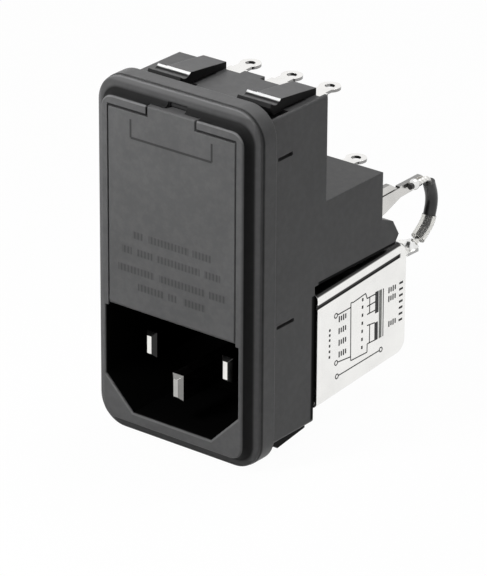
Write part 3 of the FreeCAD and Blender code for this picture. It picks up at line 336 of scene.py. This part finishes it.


# painted shade in the housing's depths: the inlet, the cove round the raised front, the joint
# behind the bezel, the gap round the can's mouth and the eaves over it, the flanks, noses and
# wells of the latches, the shaded end of the bezel, and the slots round the flap's two ears
hollows = {"recessHalf": 12.3, "recess": (-24.1, -7.85), "recessRun": (-4.85, 10.4),
           "cove": (-4.8, -3.45), "coveDark": 0.86, "joint": (-3.1, -2.62),
           "jointFoot": (-26.6, -26.2), "jointDark": 0.6, "gap": (10.2, 13.2),
           "gapTall": (-24.6, -5.0), "eaves": (-3.75, -3.2), "eavesFront": (11.4, 11.9),
           "eavesSide": (13.3, 13.4), "skin": (25.3, 25.4), "flankFront": (0.3, 0.5),
           "flankTurn": (0.5, 0.8), "flankDark": 0.88, "nose": (0.3, 2.7),
           "noseSlope": (0.3, 4.0), "noseTurn": (0.2, 0.45), "noseDark": 0.8,
           "well": (0.05, 1.9), "wellTall": (22.5, 25.05), "wellHalf": 13.45,
           "endSide": (13.2, 13.8), "endRear": (-3.2, -3.0), "endDark": 0.32,
           "earLow": 23.3, "earHalf": 4.4, "earDark": 0.8, "earReach": 0.2,
           "flapHalf": 11.5, "flapSideDark": 0.6, "front": (-4.9, -4.8)}

# scoops of the latches: their place, and the turn of the faces that would send the key light
# out, which get a painted glint
scoops = {"run": (1.5, 4.3), "skin": (26.1, 26.4), "up": 0.5, "forward": 0.86,
          "facing": (0.90, 0.96), "glintFront": (2.9, 3.0)}

# painted highlights: the bezel's top and left ends, the raised front's edge and the inlet's lip
paintedHighlightSpots = {"bezelRear": (-3.32, -3.2), "bezelFront": (-3.6, -3.5), "bezelTop": (26.2, 26.7),
          "bezelLeft": (13.9, 14.3), "edgeRear": (-4.8, -4.7), "edgeTurn": (0.3, 0.95),
          "lipLow": 24.0, "lipCorner": 31.25, "diagonal": 0.707, "lipWide": 0.28,
          "lipTop": (-19.4, -19.1), "lipRear": (-5.0, -4.95)}


def latchScoop(y, z):
    return y.band(*scoops["run"], 0.1) * z.size().step(*scoops["skin"])


# painted glint on the scoop faces turned between the key light and the way out
def scoopPaintedGlint(x, y, z, turned):
    toward = turned[2] * scoops["up"] - turned[1] * scoops["forward"]
    return (toward.step(*scoops["facing"]) * latchScoop(y, z)
            * y.step(*scoops["glintFront"]))


def flapGapShade(x, z, reach):
    # painted shade in the gaps under and beside the two ears over the flap, and down the
    # flap's right side
    low, ear, flap = (hollows[key] for key in ("earLow", "earHalf", "flapHalf"))
    under = z.band(low - reach, low + reach) * x.size().band(ear - reach, flap + 0.1)
    beside = x.size().band(ear - reach, ear + reach) * z.step(low - reach, low)
    side = x.band(flap - reach * 0.6, flap + reach) * hollows["flapSideDark"]
    return joined((under, beside, side * z.band(hollows["recess"][1], low)))


# painted shade in the recess, the cove, the gaps and round the latches
def housingPaintedShade(x, y, z, turned):
    facts = hollows
    inlet = (x.within(facts["recessHalf"]) * y.band(*facts["recessRun"], 0.2)
             * z.band(*facts["recess"]))
    cove = y.band(*facts["cove"], 0.12) * facts["coveDark"]
    joint = y.band(*facts["joint"], 0.1) * z.step(*facts["jointFoot"]) * facts["jointDark"]
    gap = y.band(*facts["gap"], 0.25) * z.band(*facts["gapTall"])
    eaves = (z.band(*facts["eaves"], 0.06) * y.step(*facts["eavesFront"])
             * x.size().step(*facts["eavesSide"]))
    skin = z.size().step(*facts["skin"])
    flank = turned[0].size().step(*facts["flankTurn"]) * skin * y.step(*facts["flankFront"])
    slope = y.band(*facts["noseSlope"], 0.1) * (0 - turned[1]).step(*facts["noseTurn"])
    nose = y.band(*facts["nose"], 0.15).high(slope) * skin * (1 - scoopPaintedGlint(x, y, z, turned))
    well = (y.band(*facts["well"], 0.1) * z.size().band(*facts["wellTall"])
            * x.within(facts["wellHalf"]))
    end = x.step(*facts["endSide"]) * (1 - y.step(*facts["endRear"])) * facts["endDark"]
    ears = flapGapShade(x, z, facts["earReach"]) * (1 - y.step(*facts["front"]))
    return joined((inlet, cove, joint, gap, eaves, flank * facts["flankDark"],
                   nose * facts["noseDark"], well, ears * facts["earDark"], end))


# painted highlight on rounded edges that face the key light
def housingPaintedHighlight(x, y, z, turned):
    facts = paintedHighlightSpots
    corner = z.step(*facts["bezelTop"]).high((0 - x).step(*facts["bezelLeft"]))
    bezel = (1 - y.step(*facts["bezelRear"])) * y.step(*facts["bezelFront"]) * corner
    edge = (1 - y.step(*facts["edgeRear"])) * turned[2].band(*facts["edgeTurn"], 0.1)
    slant = (x.size() - z - facts["lipCorner"]) * facts["diagonal"]
    below = (0 - z - facts["lipLow"]).high(slant)  # distance out from the recess's lower edge
    lip = (below.band(0.0, facts["lipWide"], 0.05) * (1 - z.step(*facts["lipTop"]))
           * (1 - y.step(*facts["lipRear"])))
    return joined((bezel, edge, lip))


# engraving of the flap: an open frame round a bare field, and rows of plain short strokes
engraving = {"frameHalf": 7.3, "frameLow": 19.2, "frameHigh": 22.0, "line": 0.18,
             "pitch": 0.62, "phase": 40, "stroke": (0.12, 0.55), "tall": 0.55,
             "rowDark": 0.25, "strokeDark": 0.45, "gapShadeReach": 0.24, "face": (-4.9, -4.8),
             "rows": ((4.35, ((-7.0, -5.1), (-4.1, 3.2), (3.9, 7.2))),
                      (1.75, ((-9.0, -7.2), (-6.2, -3.4), (-2.6, 5.2), (6.0, 8.9))),
                      (-1.2, ((-9.7, -3.1), (-2.2, 6.1), (6.9, 9.8))),
                      (-3.6, ((-6.1, -1.4), (-0.5, 1.0), (2.3, 6.2))))}


def flapMarks(x, y, z):
    # strokes are the fraction of x over the pitch, kept within each row's stretches
    facts = engraving
    thin, half, low = facts["line"], facts["frameHalf"], facts["frameLow"]
    sides = x.size().band(half - thin, half + thin) * z.band(low, facts["frameHigh"])
    base = z.band(low - thin, low + thin) * x.within(half)
    # the gap lines round the ears are painted shade, darkened and cut in with the engraving
    marks = joined((sides, base, flapGapShade(x, z, facts["gapShadeReach"])))
    ticks = (x / facts["pitch"] + facts["phase"]).part().band(*facts["stroke"], 0.08)
    for level, stretches in facts["rows"]:
        row = z.band(level - facts["tall"], level + facts["tall"], 0.12)
        row = row * joined(x.band(start, end) for start, end in stretches)
        marks = marks.high(row * (facts["rowDark"] + ticks * facts["strokeDark"]))
    return marks * (1 - y.step(*facts["face"]))


dress(mouldedPlastic("mouldedHousing", hollow=housingPaintedShade, polish=latchScoop,
                     paintedHighlight=housingPaintedHighlight, paintedGlint=scoopPaintedGlint), "housing")
dress(mouldedPlastic("mouldedFlap", marks=flapMarks), "flap")
dress(mouldedPlastic("mouldedDrawer", tone=(0.070, 0.070, 0.072)), "fuse_drawer")
print("black mouldings done")

# selector: pale grey moulding with a screwdriver slot and a pointer line

selector = {"tone": (0.56, 0.55, 0.50), "pointer": (0.05, 0.05, 0.05), "face": (1.2, 1.4),
            "axis": 2.45, "start": 2.6, "reach": 4.2, "half": 0.25}


def selectorPlastic():
    net = Net("selectorPlastic")
    x, y, z = net.axes()
    fine, broad = net.noise(3800, 2), net.noise(260, 3)
    worn = net.edges(0.12)
    pointer = (x.within(selector["half"])
               * z.band(selector["axis"] + selector["start"],
                        selector["axis"] + selector["reach"])
               * (1 - y.step(*selector["face"])))
    tone = net.mix(broad.step(0.35, 0.7) * 0.6, selector["tone"], shaded(selector["tone"], 0.88))
    tone = net.mix(worn * 0.4, tone, shaded(selector["tone"], 1.25))
    tone = net.mix(pointer, tone, selector["pointer"])
    return net.close(net.shade({
        "Base Color": tone, "Roughness": 0.4 + (fine - 0.5) * 0.15, "Specular IOR Level": 0.4,
        "Normal": net.bump(fine * 0.2 - pointer, 0.25, 0.04, net.rounded(0.12))}))


dress(selectorPlastic(), "selector_drum")

# tinned and plated metal: drawn streaks, dull patches and bright rubbed edges

metals = {
    "tinnedTab": {"tone": (0.88, 0.87, 0.85), "rough": 0.20, "scale": 900, "edge": 0.06,
                  "rimDark": (2, 0.72)},
    "tinnedBlade": {"tone": (0.64, 0.63, 0.61), "rough": 0.24, "scale": 900, "edge": 0.06,
                    "rimDark": (0, 0.65)},
    "platedPin": {"tone": (0.86, 0.85, 0.82), "rough": 0.17, "scale": 1400, "edge": 0.08,
                  "turnedPaintedReflection": 0.985},
    "earthPin": {"tone": (0.46, 0.455, 0.44), "rough": 0.2, "scale": 1400, "edge": 0.08,
                 "turnedPaintedReflection": 0.5},
    "bareBrass": {"tone": (0.76, 0.58, 0.28), "rough": 0.30, "scale": 1100, "edge": 0.05},
    "springSteel": {"tone": (0.55, 0.55, 0.57), "rough": 0.25, "scale": 1500, "edge": 0.04},
    "fuseCap": {"tone": (0.82, 0.81, 0.79), "rough": 0.16, "scale": 800, "edge": 0.08},
    "fuseWire": {"tone": (0.70, 0.70, 0.71), "rough": 0.30, "scale": 2400, "edge": 0.03},
    "softSolder": {"tone": (0.78, 0.78, 0.77), "rough": 0.20, "scale": 1300, "edge": 0.1},
}

# painted shade on the cut rims of the sheet, and a painted dark reflection on pin faces that
# see only the inlet's black walls
paintedMetalShade = {"rim": (0.05, 0.05, 0.05), "rimTurn": (0.5, 0.9), "turned": (0.02, 0.02, 0.02),
          "forward": (0.8, 0.95)}


def sheetMetal(name):
    facts = metals[name]
    net = Net(name)
    broad = net.noise(facts["scale"] / 3, 4)
    drawn = net.noise(facts["scale"], 2, 0.6, net.stretched(1, 0.08, 1))
    worn = net.edges(facts["edge"])
    tone = net.mix(broad.step(0.4, 0.8) * 0.5, facts["tone"], shaded(facts["tone"], 0.8))
    tone = net.mix(worn * 0.5, tone, shaded(facts["tone"], 1.15))
    # painted dark reflection on faces turned away from the front
    if "turnedPaintedReflection" in facts:
        awayReflection = 1 - (0 - net.facing()[1]).step(*paintedMetalShade["forward"])
        tone = net.mix(awayReflection * facts["turnedPaintedReflection"], tone, paintedMetalShade["turned"])
    # painted shade on the cut rims
    if "rimDark" in facts:
        axis, amount = facts["rimDark"]
        rim = 1 - net.facing()[axis].size().step(*paintedMetalShade["rimTurn"])
        tone = net.mix(rim * amount, tone, paintedMetalShade["rim"])
    rough = facts["rough"] + (drawn - 0.5) * 0.18 + (broad - 0.5) * 0.1
    normal = net.bump(drawn, 0.12, 0.02, net.rounded(facts["edge"]))
    return net.close(net.shade({"Base Color": tone, "Roughness": rough, "Metallic": 1.0,
                                "Normal": normal}))


dress(sheetMetal("tinnedTab"), "upper_tab_left", "upper_tab_middle", "upper_tab_right",
      "lower_tab_left", "lower_tab_right")
dress(sheetMetal("tinnedBlade"), "earth_blade")
dress(sheetMetal("platedPin"), "line_pin", "neutral_pin")
dress(sheetMetal("earthPin"), "earth_pin")
dress(sheetMetal("bareBrass"), "neutral_out_contact", "line_out_contact", "line_feed_contact",
      "neutral_feed_contact", "selector_common_contact", "selector_band", "earth_strap")
dress(sheetMetal("springSteel"), "detent_spring")
dress(sheetMetal("fuseCap"), "lower_fuse_cap_left", "lower_fuse_cap_right",
      "upper_fuse_cap_left", "upper_fuse_cap_right")
dress(sheetMetal("fuseWire"), "lower_fuse_element", "upper_fuse_element")
dress(sheetMetal("softSolder"), "blade_solder", "lug_solder")
print("metals done")

# filter can: bright tinned sheet, faintly spangled, a painted shadow under the top roll

can = {"tone": (0.90, 0.895, 0.875), "dull": (0.76, 0.755, 0.74),
       "rubbed": (0.97, 0.97, 0.96), "rough": 0.24, "spangle": 420, "cloud": 90,
       "grain": 2600, "drawn": 700, "edge": 0.25, "mouth": 12.2, "slope": 0.0676,
       "creaseLevel": -7.55, "creaseTall": 0.34, "creaseSide": (12.6, 12.7),
       "creaseRun": (12.0, 32.3), "creaseShadowTone": (0.03, 0.03, 0.03), "creaseShadowShare": 0.95,
       "roofTurn": (0.35, 0.6), "roofRun": (12.0, 32.6), "roofReflectionTone": (0.006, 0.006, 0.006),
       "roofReflectionShare": 0.96, "darkerEdgeLow": (-23.7, -23.4), "darkerEdgeRear": (34.0, 34.3),
       "darkerEdgeTurn": (0.3, 0.6), "darkerEdgeTone": (0.2, 0.2, 0.2), "darkerEdgeShare": 0.7}


def canSheet():
    # the crease is a line that rises with the can: z less slope times y, with a painted shadow
    # on it. The roof gets a painted reflection of the black moulding over it, and the side faces
    # are darker along their lower and rear edges
    net = Net("canSheet")
    x, y, z = net.axes()
    spangle = net.node("ShaderNodeTexVoronoi", {"feature": "F1"},
                       {"Vector": net.place(), "Scale": can["spangle"], "Randomness": 1.0})
    cloud, fine = net.noise(can["cloud"], 4, 0.6), net.noise(can["grain"], 2)
    drawn = net.noise(can["drawn"], 2, 0.6, net.stretched(1, 0.12, 1))
    worn = net.edges(can["edge"])
    tone = net.mix(cloud.step(0.42, 0.8) * 0.45 + spangle.step(0.2, 0.9) * 0.12,
                   can["tone"], can["dull"])
    tone = net.mix(worn * 0.5, tone, can["rubbed"])
    # painted shadow under the top roll
    level = z - (y - can["mouth"]) * can["slope"] - can["creaseLevel"]
    creaseShadow = (level.band(-can["creaseTall"], can["creaseTall"], 0.06)
              * x.size().step(*can["creaseSide"]) * y.band(*can["creaseRun"], 0.2))
    tone = net.mix(creaseShadow * can["creaseShadowShare"], tone, can["creaseShadowTone"])
    turned = net.facing()
    # painted reflection of the black moulding on the roof
    roofReflection = turned[2].step(*can["roofTurn"]) * y.band(*can["roofRun"], 0.2)
    tone = net.mix(roofReflection * can["roofReflectionShare"], tone, can["roofReflectionTone"])
    # the side faces are darker along their lower and rear edges
    darkerEdges = (1 - z.step(*can["darkerEdgeLow"])).high(y.step(*can["darkerEdgeRear"]))
    darkerEdges = darkerEdges * turned[0].size().step(*can["darkerEdgeTurn"])
    tone = net.mix(darkerEdges * can["darkerEdgeShare"], tone, can["darkerEdgeTone"])
    rough = can["rough"] + (drawn - 0.5) * 0.12 + (cloud - 0.5) * 0.12 + creaseShadow * 0.3
    height = drawn * 0.5 + fine * 0.15 + cloud * 0.4
    return net.close(net.shade({"Base Color": tone, "Roughness": rough, "Metallic": 1.0,
                                "Normal": net.bump(height, 0.1, 0.03, net.rounded(0.2))}))


dress(canSheet(), "filter_can")

# printed circuit diagram on the can's side, in plain strokes with nothing to read; places are
# along and up the side, in millimetres

diagram = {"side": 13.2, "lift": 0.02, "fine": 0.17, "ring": 0.36,
           "black": (0.02, 0.02, 0.02), "grey": (0.30, 0.31, 0.29), "uneven": 0.2,
           "rails": (((28.2, -10.1), (28.3, -17.85)), ((20.2, -9.6), (20.35, -18.3))),
           "coils": (((24.2, -10.3), (26.2, -10.3)), ((24.2, -11.6), (26.2, -11.55)),
                     ((24.25, -12.9), (26.2, -12.9)), ((24.3, -14.7), (26.2, -14.9)),
                     ((24.4, -17.7), (26.2, -17.75)), ((24.85, -10.3), (24.85, -12.9)),
                     ((24.95, -14.75), (24.95, -17.7))),
           "wires": (((16.95, -10.37), (20.2, -10.3)), ((20.2, -9.6), (20.85, -9.7)),
                     ((20.85, -9.7), (23.8, -9.35)), ((23.8, -9.35), (24.2, -10.3)),
                     ((17.15, -18.0), (20.35, -18.3)), ((20.35, -18.3), (20.4, -18.95)),
                     ((20.4, -18.95), (24.4, -19.05)), ((24.4, -19.05), (24.4, -17.7)),
                     ((17.4, -20.25), (27.5, -19.9))),
           "rings": ((16.6, -10.37), (16.8, -18.0), (17.04, -20.26), (27.85, -19.87)),
           "cores": (((26.6, -10.0), (26.65, -13.45)), ((26.55, -14.95), (26.6, -17.85))),
           "coreWide": 0.8, "screen": ((27.5, -10.05), (27.6, -17.85)), "screenWide": 0.65,
           "labels": ((18.2, -11.2), (18.2, -13.1), (18.25, -15.0), (18.3, -16.9),
                      (30.4, -10.9), (30.4, -12.3), (30.55, -16.4)),
           "labelStrokes": 4, "labelPitch": 0.52, "labelTall": 0.95, "labelShort": 0.8,
           "labelWide": 0.26, "smallWide": 0.35, "pointTall": 0.5, "dashTall": 0.4,
           "edgeReach": 0.45, "edgeWide": 0.34,
           "pointsAt": 23.1, "points": (-10.1, -11.3, -12.6, -13.9, -15.2, -16.5, -17.8),
           "edgeAt": 32.65, "edgeMarks": (-10.7, -11.7, -12.7, -13.7, -14.7, -15.7, -16.7),
           "dashAt": 15.15, "dashes": (-12.2, -13.0, -13.8, -14.7, -15.6, -16.5)}


def strokes(name, segments, widths):
    # each segment becomes a flat strip, its two ends moved half a width to either side
    ends = np.array(segments, float).reshape(-1, 2, 2)
    widths = np.broadcast_to(np.asarray(widths, float), len(ends))
    along = ends[:, 1] - ends[:, 0]
    along /= np.linalg.norm(along, axis=1, keepdims=True)
    aside = np.stack([-along[:, 1], along[:, 0]], 1) * widths[:, None] / 2
    corners = np.stack([ends[:, 0] - aside, ends[:, 1] - aside, ends[:, 1] + aside,
                        ends[:, 0] + aside], 1).reshape(-1, 2)
    across = np.full((len(corners), 1), diagram["side"] + diagram["lift"])
    mesh = bpy.data.meshes.new(name)
    mesh.from_pydata((np.hstack([across, corners]) * mm).tolist(), [],
                     np.arange(len(corners)).reshape(-1, 4).tolist())
    piece = bpy.data.objects.new(name, mesh)
    bpy.context.scene.collection.objects.link(piece)
    return piece


def ringStrokes(centre, radius, count=20):
    turn = np.linspace(0, 2 * np.pi, count + 1)
    points = np.stack([np.cos(turn), np.sin(turn)], 1) * radius + np.array(centre)
    return np.stack([points[:-1], points[1:]], 1)


def upright(centre, tall):
    y, z = centre
    return [(y, z - tall / 2), (y, z + tall / 2)]


def ink(name, tone):
    # screen printed ink, a little broken where it thins out over the sheet
    net = Net(name)
    thin, grain = net.noise(2600, 3, 0.6), net.noise(700, 3)
    colour = net.mix(thin.step(0.45, 0.8) * 0.6, tone, shaded(tone, 2.2, 0.02))
    return net.close(net.shade({"Base Color": colour, "Specular IOR Level": 0.3,
                                "Roughness": 0.5 + (grain - 0.5) * diagram["uneven"],
                                "Normal": net.bump(thin, 0.1, 0.02)}))


def printDiagram():
    facts = diagram
    lines = [*facts["rails"], *facts["coils"], *facts["wires"]]
    rings = [ringStrokes(centre, facts["ring"]) for centre in facts["rings"]]
    fine = np.concatenate([np.array(lines, float), *rings])
    labels = [upright((y + (number - (facts["labelStrokes"] - 1) / 2) * facts["labelPitch"], z),
                      facts["labelTall"] * (facts["labelShort"] if number % 2 else 1))
              for y, z in facts["labels"] for number in range(facts["labelStrokes"])]
    small = [upright((facts["pointsAt"], z), facts["pointTall"]) for z in facts["points"]]
    small += [upright((facts["dashAt"], z), facts["dashTall"]) for z in facts["dashes"]]
    start, end = (facts["edgeAt"] + facts["edgeReach"] * way for way in (-1, 1))
    edge = [((start, z), (end, z)) for z in facts["edgeMarks"]]
    groups = ((fine, facts["fine"]), (facts["cores"], facts["coreWide"]),
              (labels, facts["labelWide"]), (small, facts["smallWide"]),
              (edge, facts["edgeWide"]))
    segments = np.concatenate([np.array(part, float) for part, width in groups])
    widths = np.concatenate([np.full(len(part), width) for part, width in groups])
    black = strokes("diagramInk", segments, widths)
    black.data.materials.append(ink("blackInk", facts["black"]))
    grey = strokes("diagramScreen", [facts["screen"]], facts["screenWide"])
    grey.data.materials.append(ink("greyInk", facts["grey"]))
    for piece in (black, grey):
        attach(piece, "module")


printDiagram()
print("filter can done")

# jumper: tinned strand, black up to its cut end and where it keeps its insulation, in its two
# sleeves

jumper = {"metal": (0.85, 0.84, 0.81), "blackTone": (0.015, 0.015, 0.015), "lay": 9,
          "lean": 0.7, "fine": 5200, "cutEnd": (36.25, 36.45), "core": (-5.35, -2.2),
          "sleeve": (0.012, 0.012, 0.012), "sleeveWorn": (0.045, 0.045, 0.045),
          "clear": (0.90, 0.89, 0.85), "clearDull": (0.74, 0.73, 0.69), "through": 0.82,
          "index": 1.3}


def strandedLead():
    net = Net("strandedLead")
    x, y, z = net.axes()
    lay = ((y + z + x * jumper["lean"]) * jumper["lay"]).sine()
    fine = net.noise(jumper["fine"], 2)
    blackStretch = (1 - y.step(*jumper["cutEnd"])).high(z.band(*jumper["core"], 0.1))
    metal = net.mix(lay.step(-0.6, 0.9), shaded(jumper["metal"], 0.75), jumper["metal"])
    tone = net.mix(blackStretch, metal, jumper["blackTone"])
    return net.close(net.shade({
        "Base Color": tone, "Metallic": 1 - blackStretch, "Roughness": 0.28 + fine * 0.12,
        "Normal": net.bump(lay * (1 - blackStretch) * 0.6 + fine * 0.1, 0.2, 0.05)}))


def blackSleeve():
    net = Net("blackSleeve")
    x, y, z = net.axes()
    braid = ((y * 7 + z * 4).sine() + (y * 4 - z * 7).sine()) * 0.5
    fine, broad = net.noise(3000, 3), net.noise(500, 3)
    tone = net.mix(broad.step(0.3, 0.8), jumper["sleeve"], jumper["sleeveWorn"])
    return net.close(net.shade({
        "Base Color": tone, "Roughness": 0.32 + (fine - 0.5) * 0.2, "Specular IOR Level": 0.5,
        "Normal": net.bump(braid * 0.3 + fine * 0.2, 0.15, 0.04, net.rounded(0.1))}))


def clearSleeve():
    net = Net("clearSleeve")
    x, y, z = net.axes()
    fine, broad = net.noise(2200, 3), net.noise(420, 3)
    ribs = ((y * 0.6 + z) * 6).sine()
    tone = net.mix(broad.step(0.35, 0.75), jumper["clear"], jumper["clearDull"])
    return net.close(net.shade({
        "Base Color": tone, "Roughness": 0.16 + (fine - 0.5) * 0.16,
        "Transmission Weight": jumper["through"], "IOR": jumper["index"],
        "Normal": net.bump(ribs * 0.4 + fine * 0.3, 0.2, 0.05, net.rounded(0.1))}))


dress(strandedLead(), "jumper_wire")
dress(blackSleeve(), "black_sleeve")
dress(clearSleeve(), "clear_sleeve")
print("jumper done")

# fuses: clear glass with faint draw lines

fuseTube = {"tone": (0.94, 0.97, 0.96), "ior": 1.47}


def fuseGlass():
    net = Net("fuseGlass")
    draw = net.noise(600, 2, 0.5, net.stretched(0.05, 1, 1))
    fine = net.noise(1800, 2)
    tone = net.mix(draw.step(0.3, 0.8), fuseTube["tone"], shaded(fuseTube["tone"], 0.94))
    return net.close(net.shade({
        "Base Color": tone, "Roughness": 0.015 + fine * 0.02, "Transmission Weight": 1.0,
        "IOR": fuseTube["ior"], "Normal": net.bump(draw, 0.05, 0.02)}))


dress(fuseGlass(), "lower_fuse_glass", "upper_fuse_glass")

# filter parts inside the can

parts = {"laminate": (0.30, 0.25, 0.10), "mask": (0.05, 0.14, 0.06),
         "ferrite": (0.075, 0.075, 0.078), "copper": (0.66, 0.27, 0.10),
         "yellow": (0.72, 0.50, 0.06), "blue": (0.05, 0.16, 0.42), "coat": (0.52, 0.40, 0.24),
         "leadMetal": (0.80, 0.79, 0.76), "chipped": (0.2, 0.2, 0.2),
         "copperWorn": (0.78, 0.38, 0.16), "turns": 34, "castLegs": 1.2, "castRough": 0.34,
         "dipLegs": 1.15, "dipRough": 0.2, "bandHalf": 0.25,
         "bands": ((-2.2, (0.30, 0.12, 0.04)), (-1.0, (0.02, 0.02, 0.02)),
                   (0.2, (0.62, 0.42, 0.04)), (2.0, (0.55, 0.42, 0.15)))}


def boardLaminate():
    # solder mask with wide tracks under it, and bare woven laminate at the cut edges
    net = Net("boardLaminate")
    x, y, z = net.axes()
    weave = ((x * 5.2).sine() * (y * 5.2).sine()).step(-0.4, 0.6)
    tracks = net.noise(110, 1, 0.3).step(0.49, 0.52)
    fine = net.noise(2600, 2)
    edge = net.edges(0.2)
    tone = net.mix(tracks, parts["mask"], shaded(parts["mask"], 1.7))
    tone = net.mix(weave * 0.3 + edge * 0.6, tone, parts["laminate"])
    return net.close(net.shade({
        "Base Color": tone, "Roughness": 0.3 + fine * 0.15, "Specular IOR Level": 0.5,
        "Normal": net.bump(tracks * 0.8 + weave * 0.2, 0.3, 0.05, net.rounded(0.08))}))


def ferriteRing():
    net = Net("ferriteRing")
    pits, broad = net.noise(1500, 5, 0.7), net.noise(220, 3)
    edge = net.edges(0.3)
    tone = net.mix(broad.step(0.3, 0.7), parts["ferrite"], shaded(parts["ferrite"], 1.5))
    tone = net.mix(edge * 0.4, tone, parts["chipped"])
    return net.close(net.shade({
        "Base Color": tone, "Roughness": 0.55 + (pits - 0.5) * 0.3,
        "Normal": net.bump(pits.step(0.35, 0.6), 0.4, 0.08, net.rounded(0.4))}))


def copperTurns(name, box):
    # turns run across the ring, so they follow the angle about its axis
    net = Net(name)
    x, y, z = net.axes()
    low, high = box
    middle = (low[1] + high[1]) / 2 / mm
    angle = net.around(x, y - middle)
    wire = ((angle * parts["turns"]).sine() + 1) * 0.5
    fine = net.noise(1900, 2)
    # painted shade in the grooves between turns
    tone = net.mix(wire.step(0.0, 0.45), shaded(parts["copper"], 0.3), parts["copper"])
    tone = net.mix(fine.step(0.5, 0.8) * 0.3, tone, parts["copperWorn"])
    return net.close(net.shade({
        "Base Color": tone, "Metallic": 0.85, "Roughness": 0.22 + fine * 0.12,
        "Coat Weight": 0.4, "Normal": net.bump(wire ** 0.5, 0.8, 0.25)}))


def castBody(name, tone, legs, gloss):
    # dipped or cast resin on bright wire legs; legs is the mask of the wires
    net = Net(name)
    x, y, z = net.axes()
    wave, fine = net.noise(240, 3), net.noise(2300, 2)
    edge = net.edges(0.2)
    wires = legs(x, y, z)
    colour = net.mix(wave.step(0.3, 0.75), tone, shaded(tone, 0.8))
    colour = net.mix(edge * 0.35, colour, shaded(tone, 1.4, 0.03))
    colour = net.mix(wires, colour, parts["leadMetal"])
    return net.close(net.shade({
        "Base Color": colour, "Metallic": wires, "Roughness": gloss + (fine - 0.5) * 0.12,
        "Normal": net.bump(wave * 0.6 + fine * 0.15, 0.25, 0.1, net.rounded(0.25))}))


def resistorCoat():
    net = Net("resistorCoat")
    x, y, z = net.axes()
    fine, wave = net.noise(2500, 2), net.noise(300, 3)
    tone = net.mix(wave.step(0.3, 0.7), parts["coat"], shaded(parts["coat"], 0.85))
    half = parts["bandHalf"]
    for place, band in parts["bands"]:
        tone = net.mix(x.band(place - half, place + half), tone, band)
    return net.close(net.shade({
        "Base Color": tone, "Roughness": 0.28 + fine * 0.12, "Coat Weight": 0.3,
        "Normal": net.bump(wave, 0.15, 0.05, net.rounded(0.3))}))


def legsAbove(node, height):
    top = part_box(node)[1][2] / mm - height
    return lambda x, y, z: z.step(top, top + 0.1)


dress(boardLaminate(), "filter_board")
dress(ferriteRing(), "choke_core")
for node in ("choke_winding_left", "choke_winding_right"):
    dress(copperTurns(node.replace("choke_", "") + "Copper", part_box("choke_core")), node)
dress(castBody("castYellow", parts["yellow"], legsAbove("x_capacitor", parts["castLegs"]),
               parts["castRough"]), "x_capacitor")
dress(castBody("dippedBlue", parts["blue"], legsAbove("y_capacitor_left", parts["dipLegs"]),
               parts["dipRough"]), "y_capacitor_left", "y_capacitor_right")
dress(resistorCoat(), "bleed_resistor")
print("filter parts done")
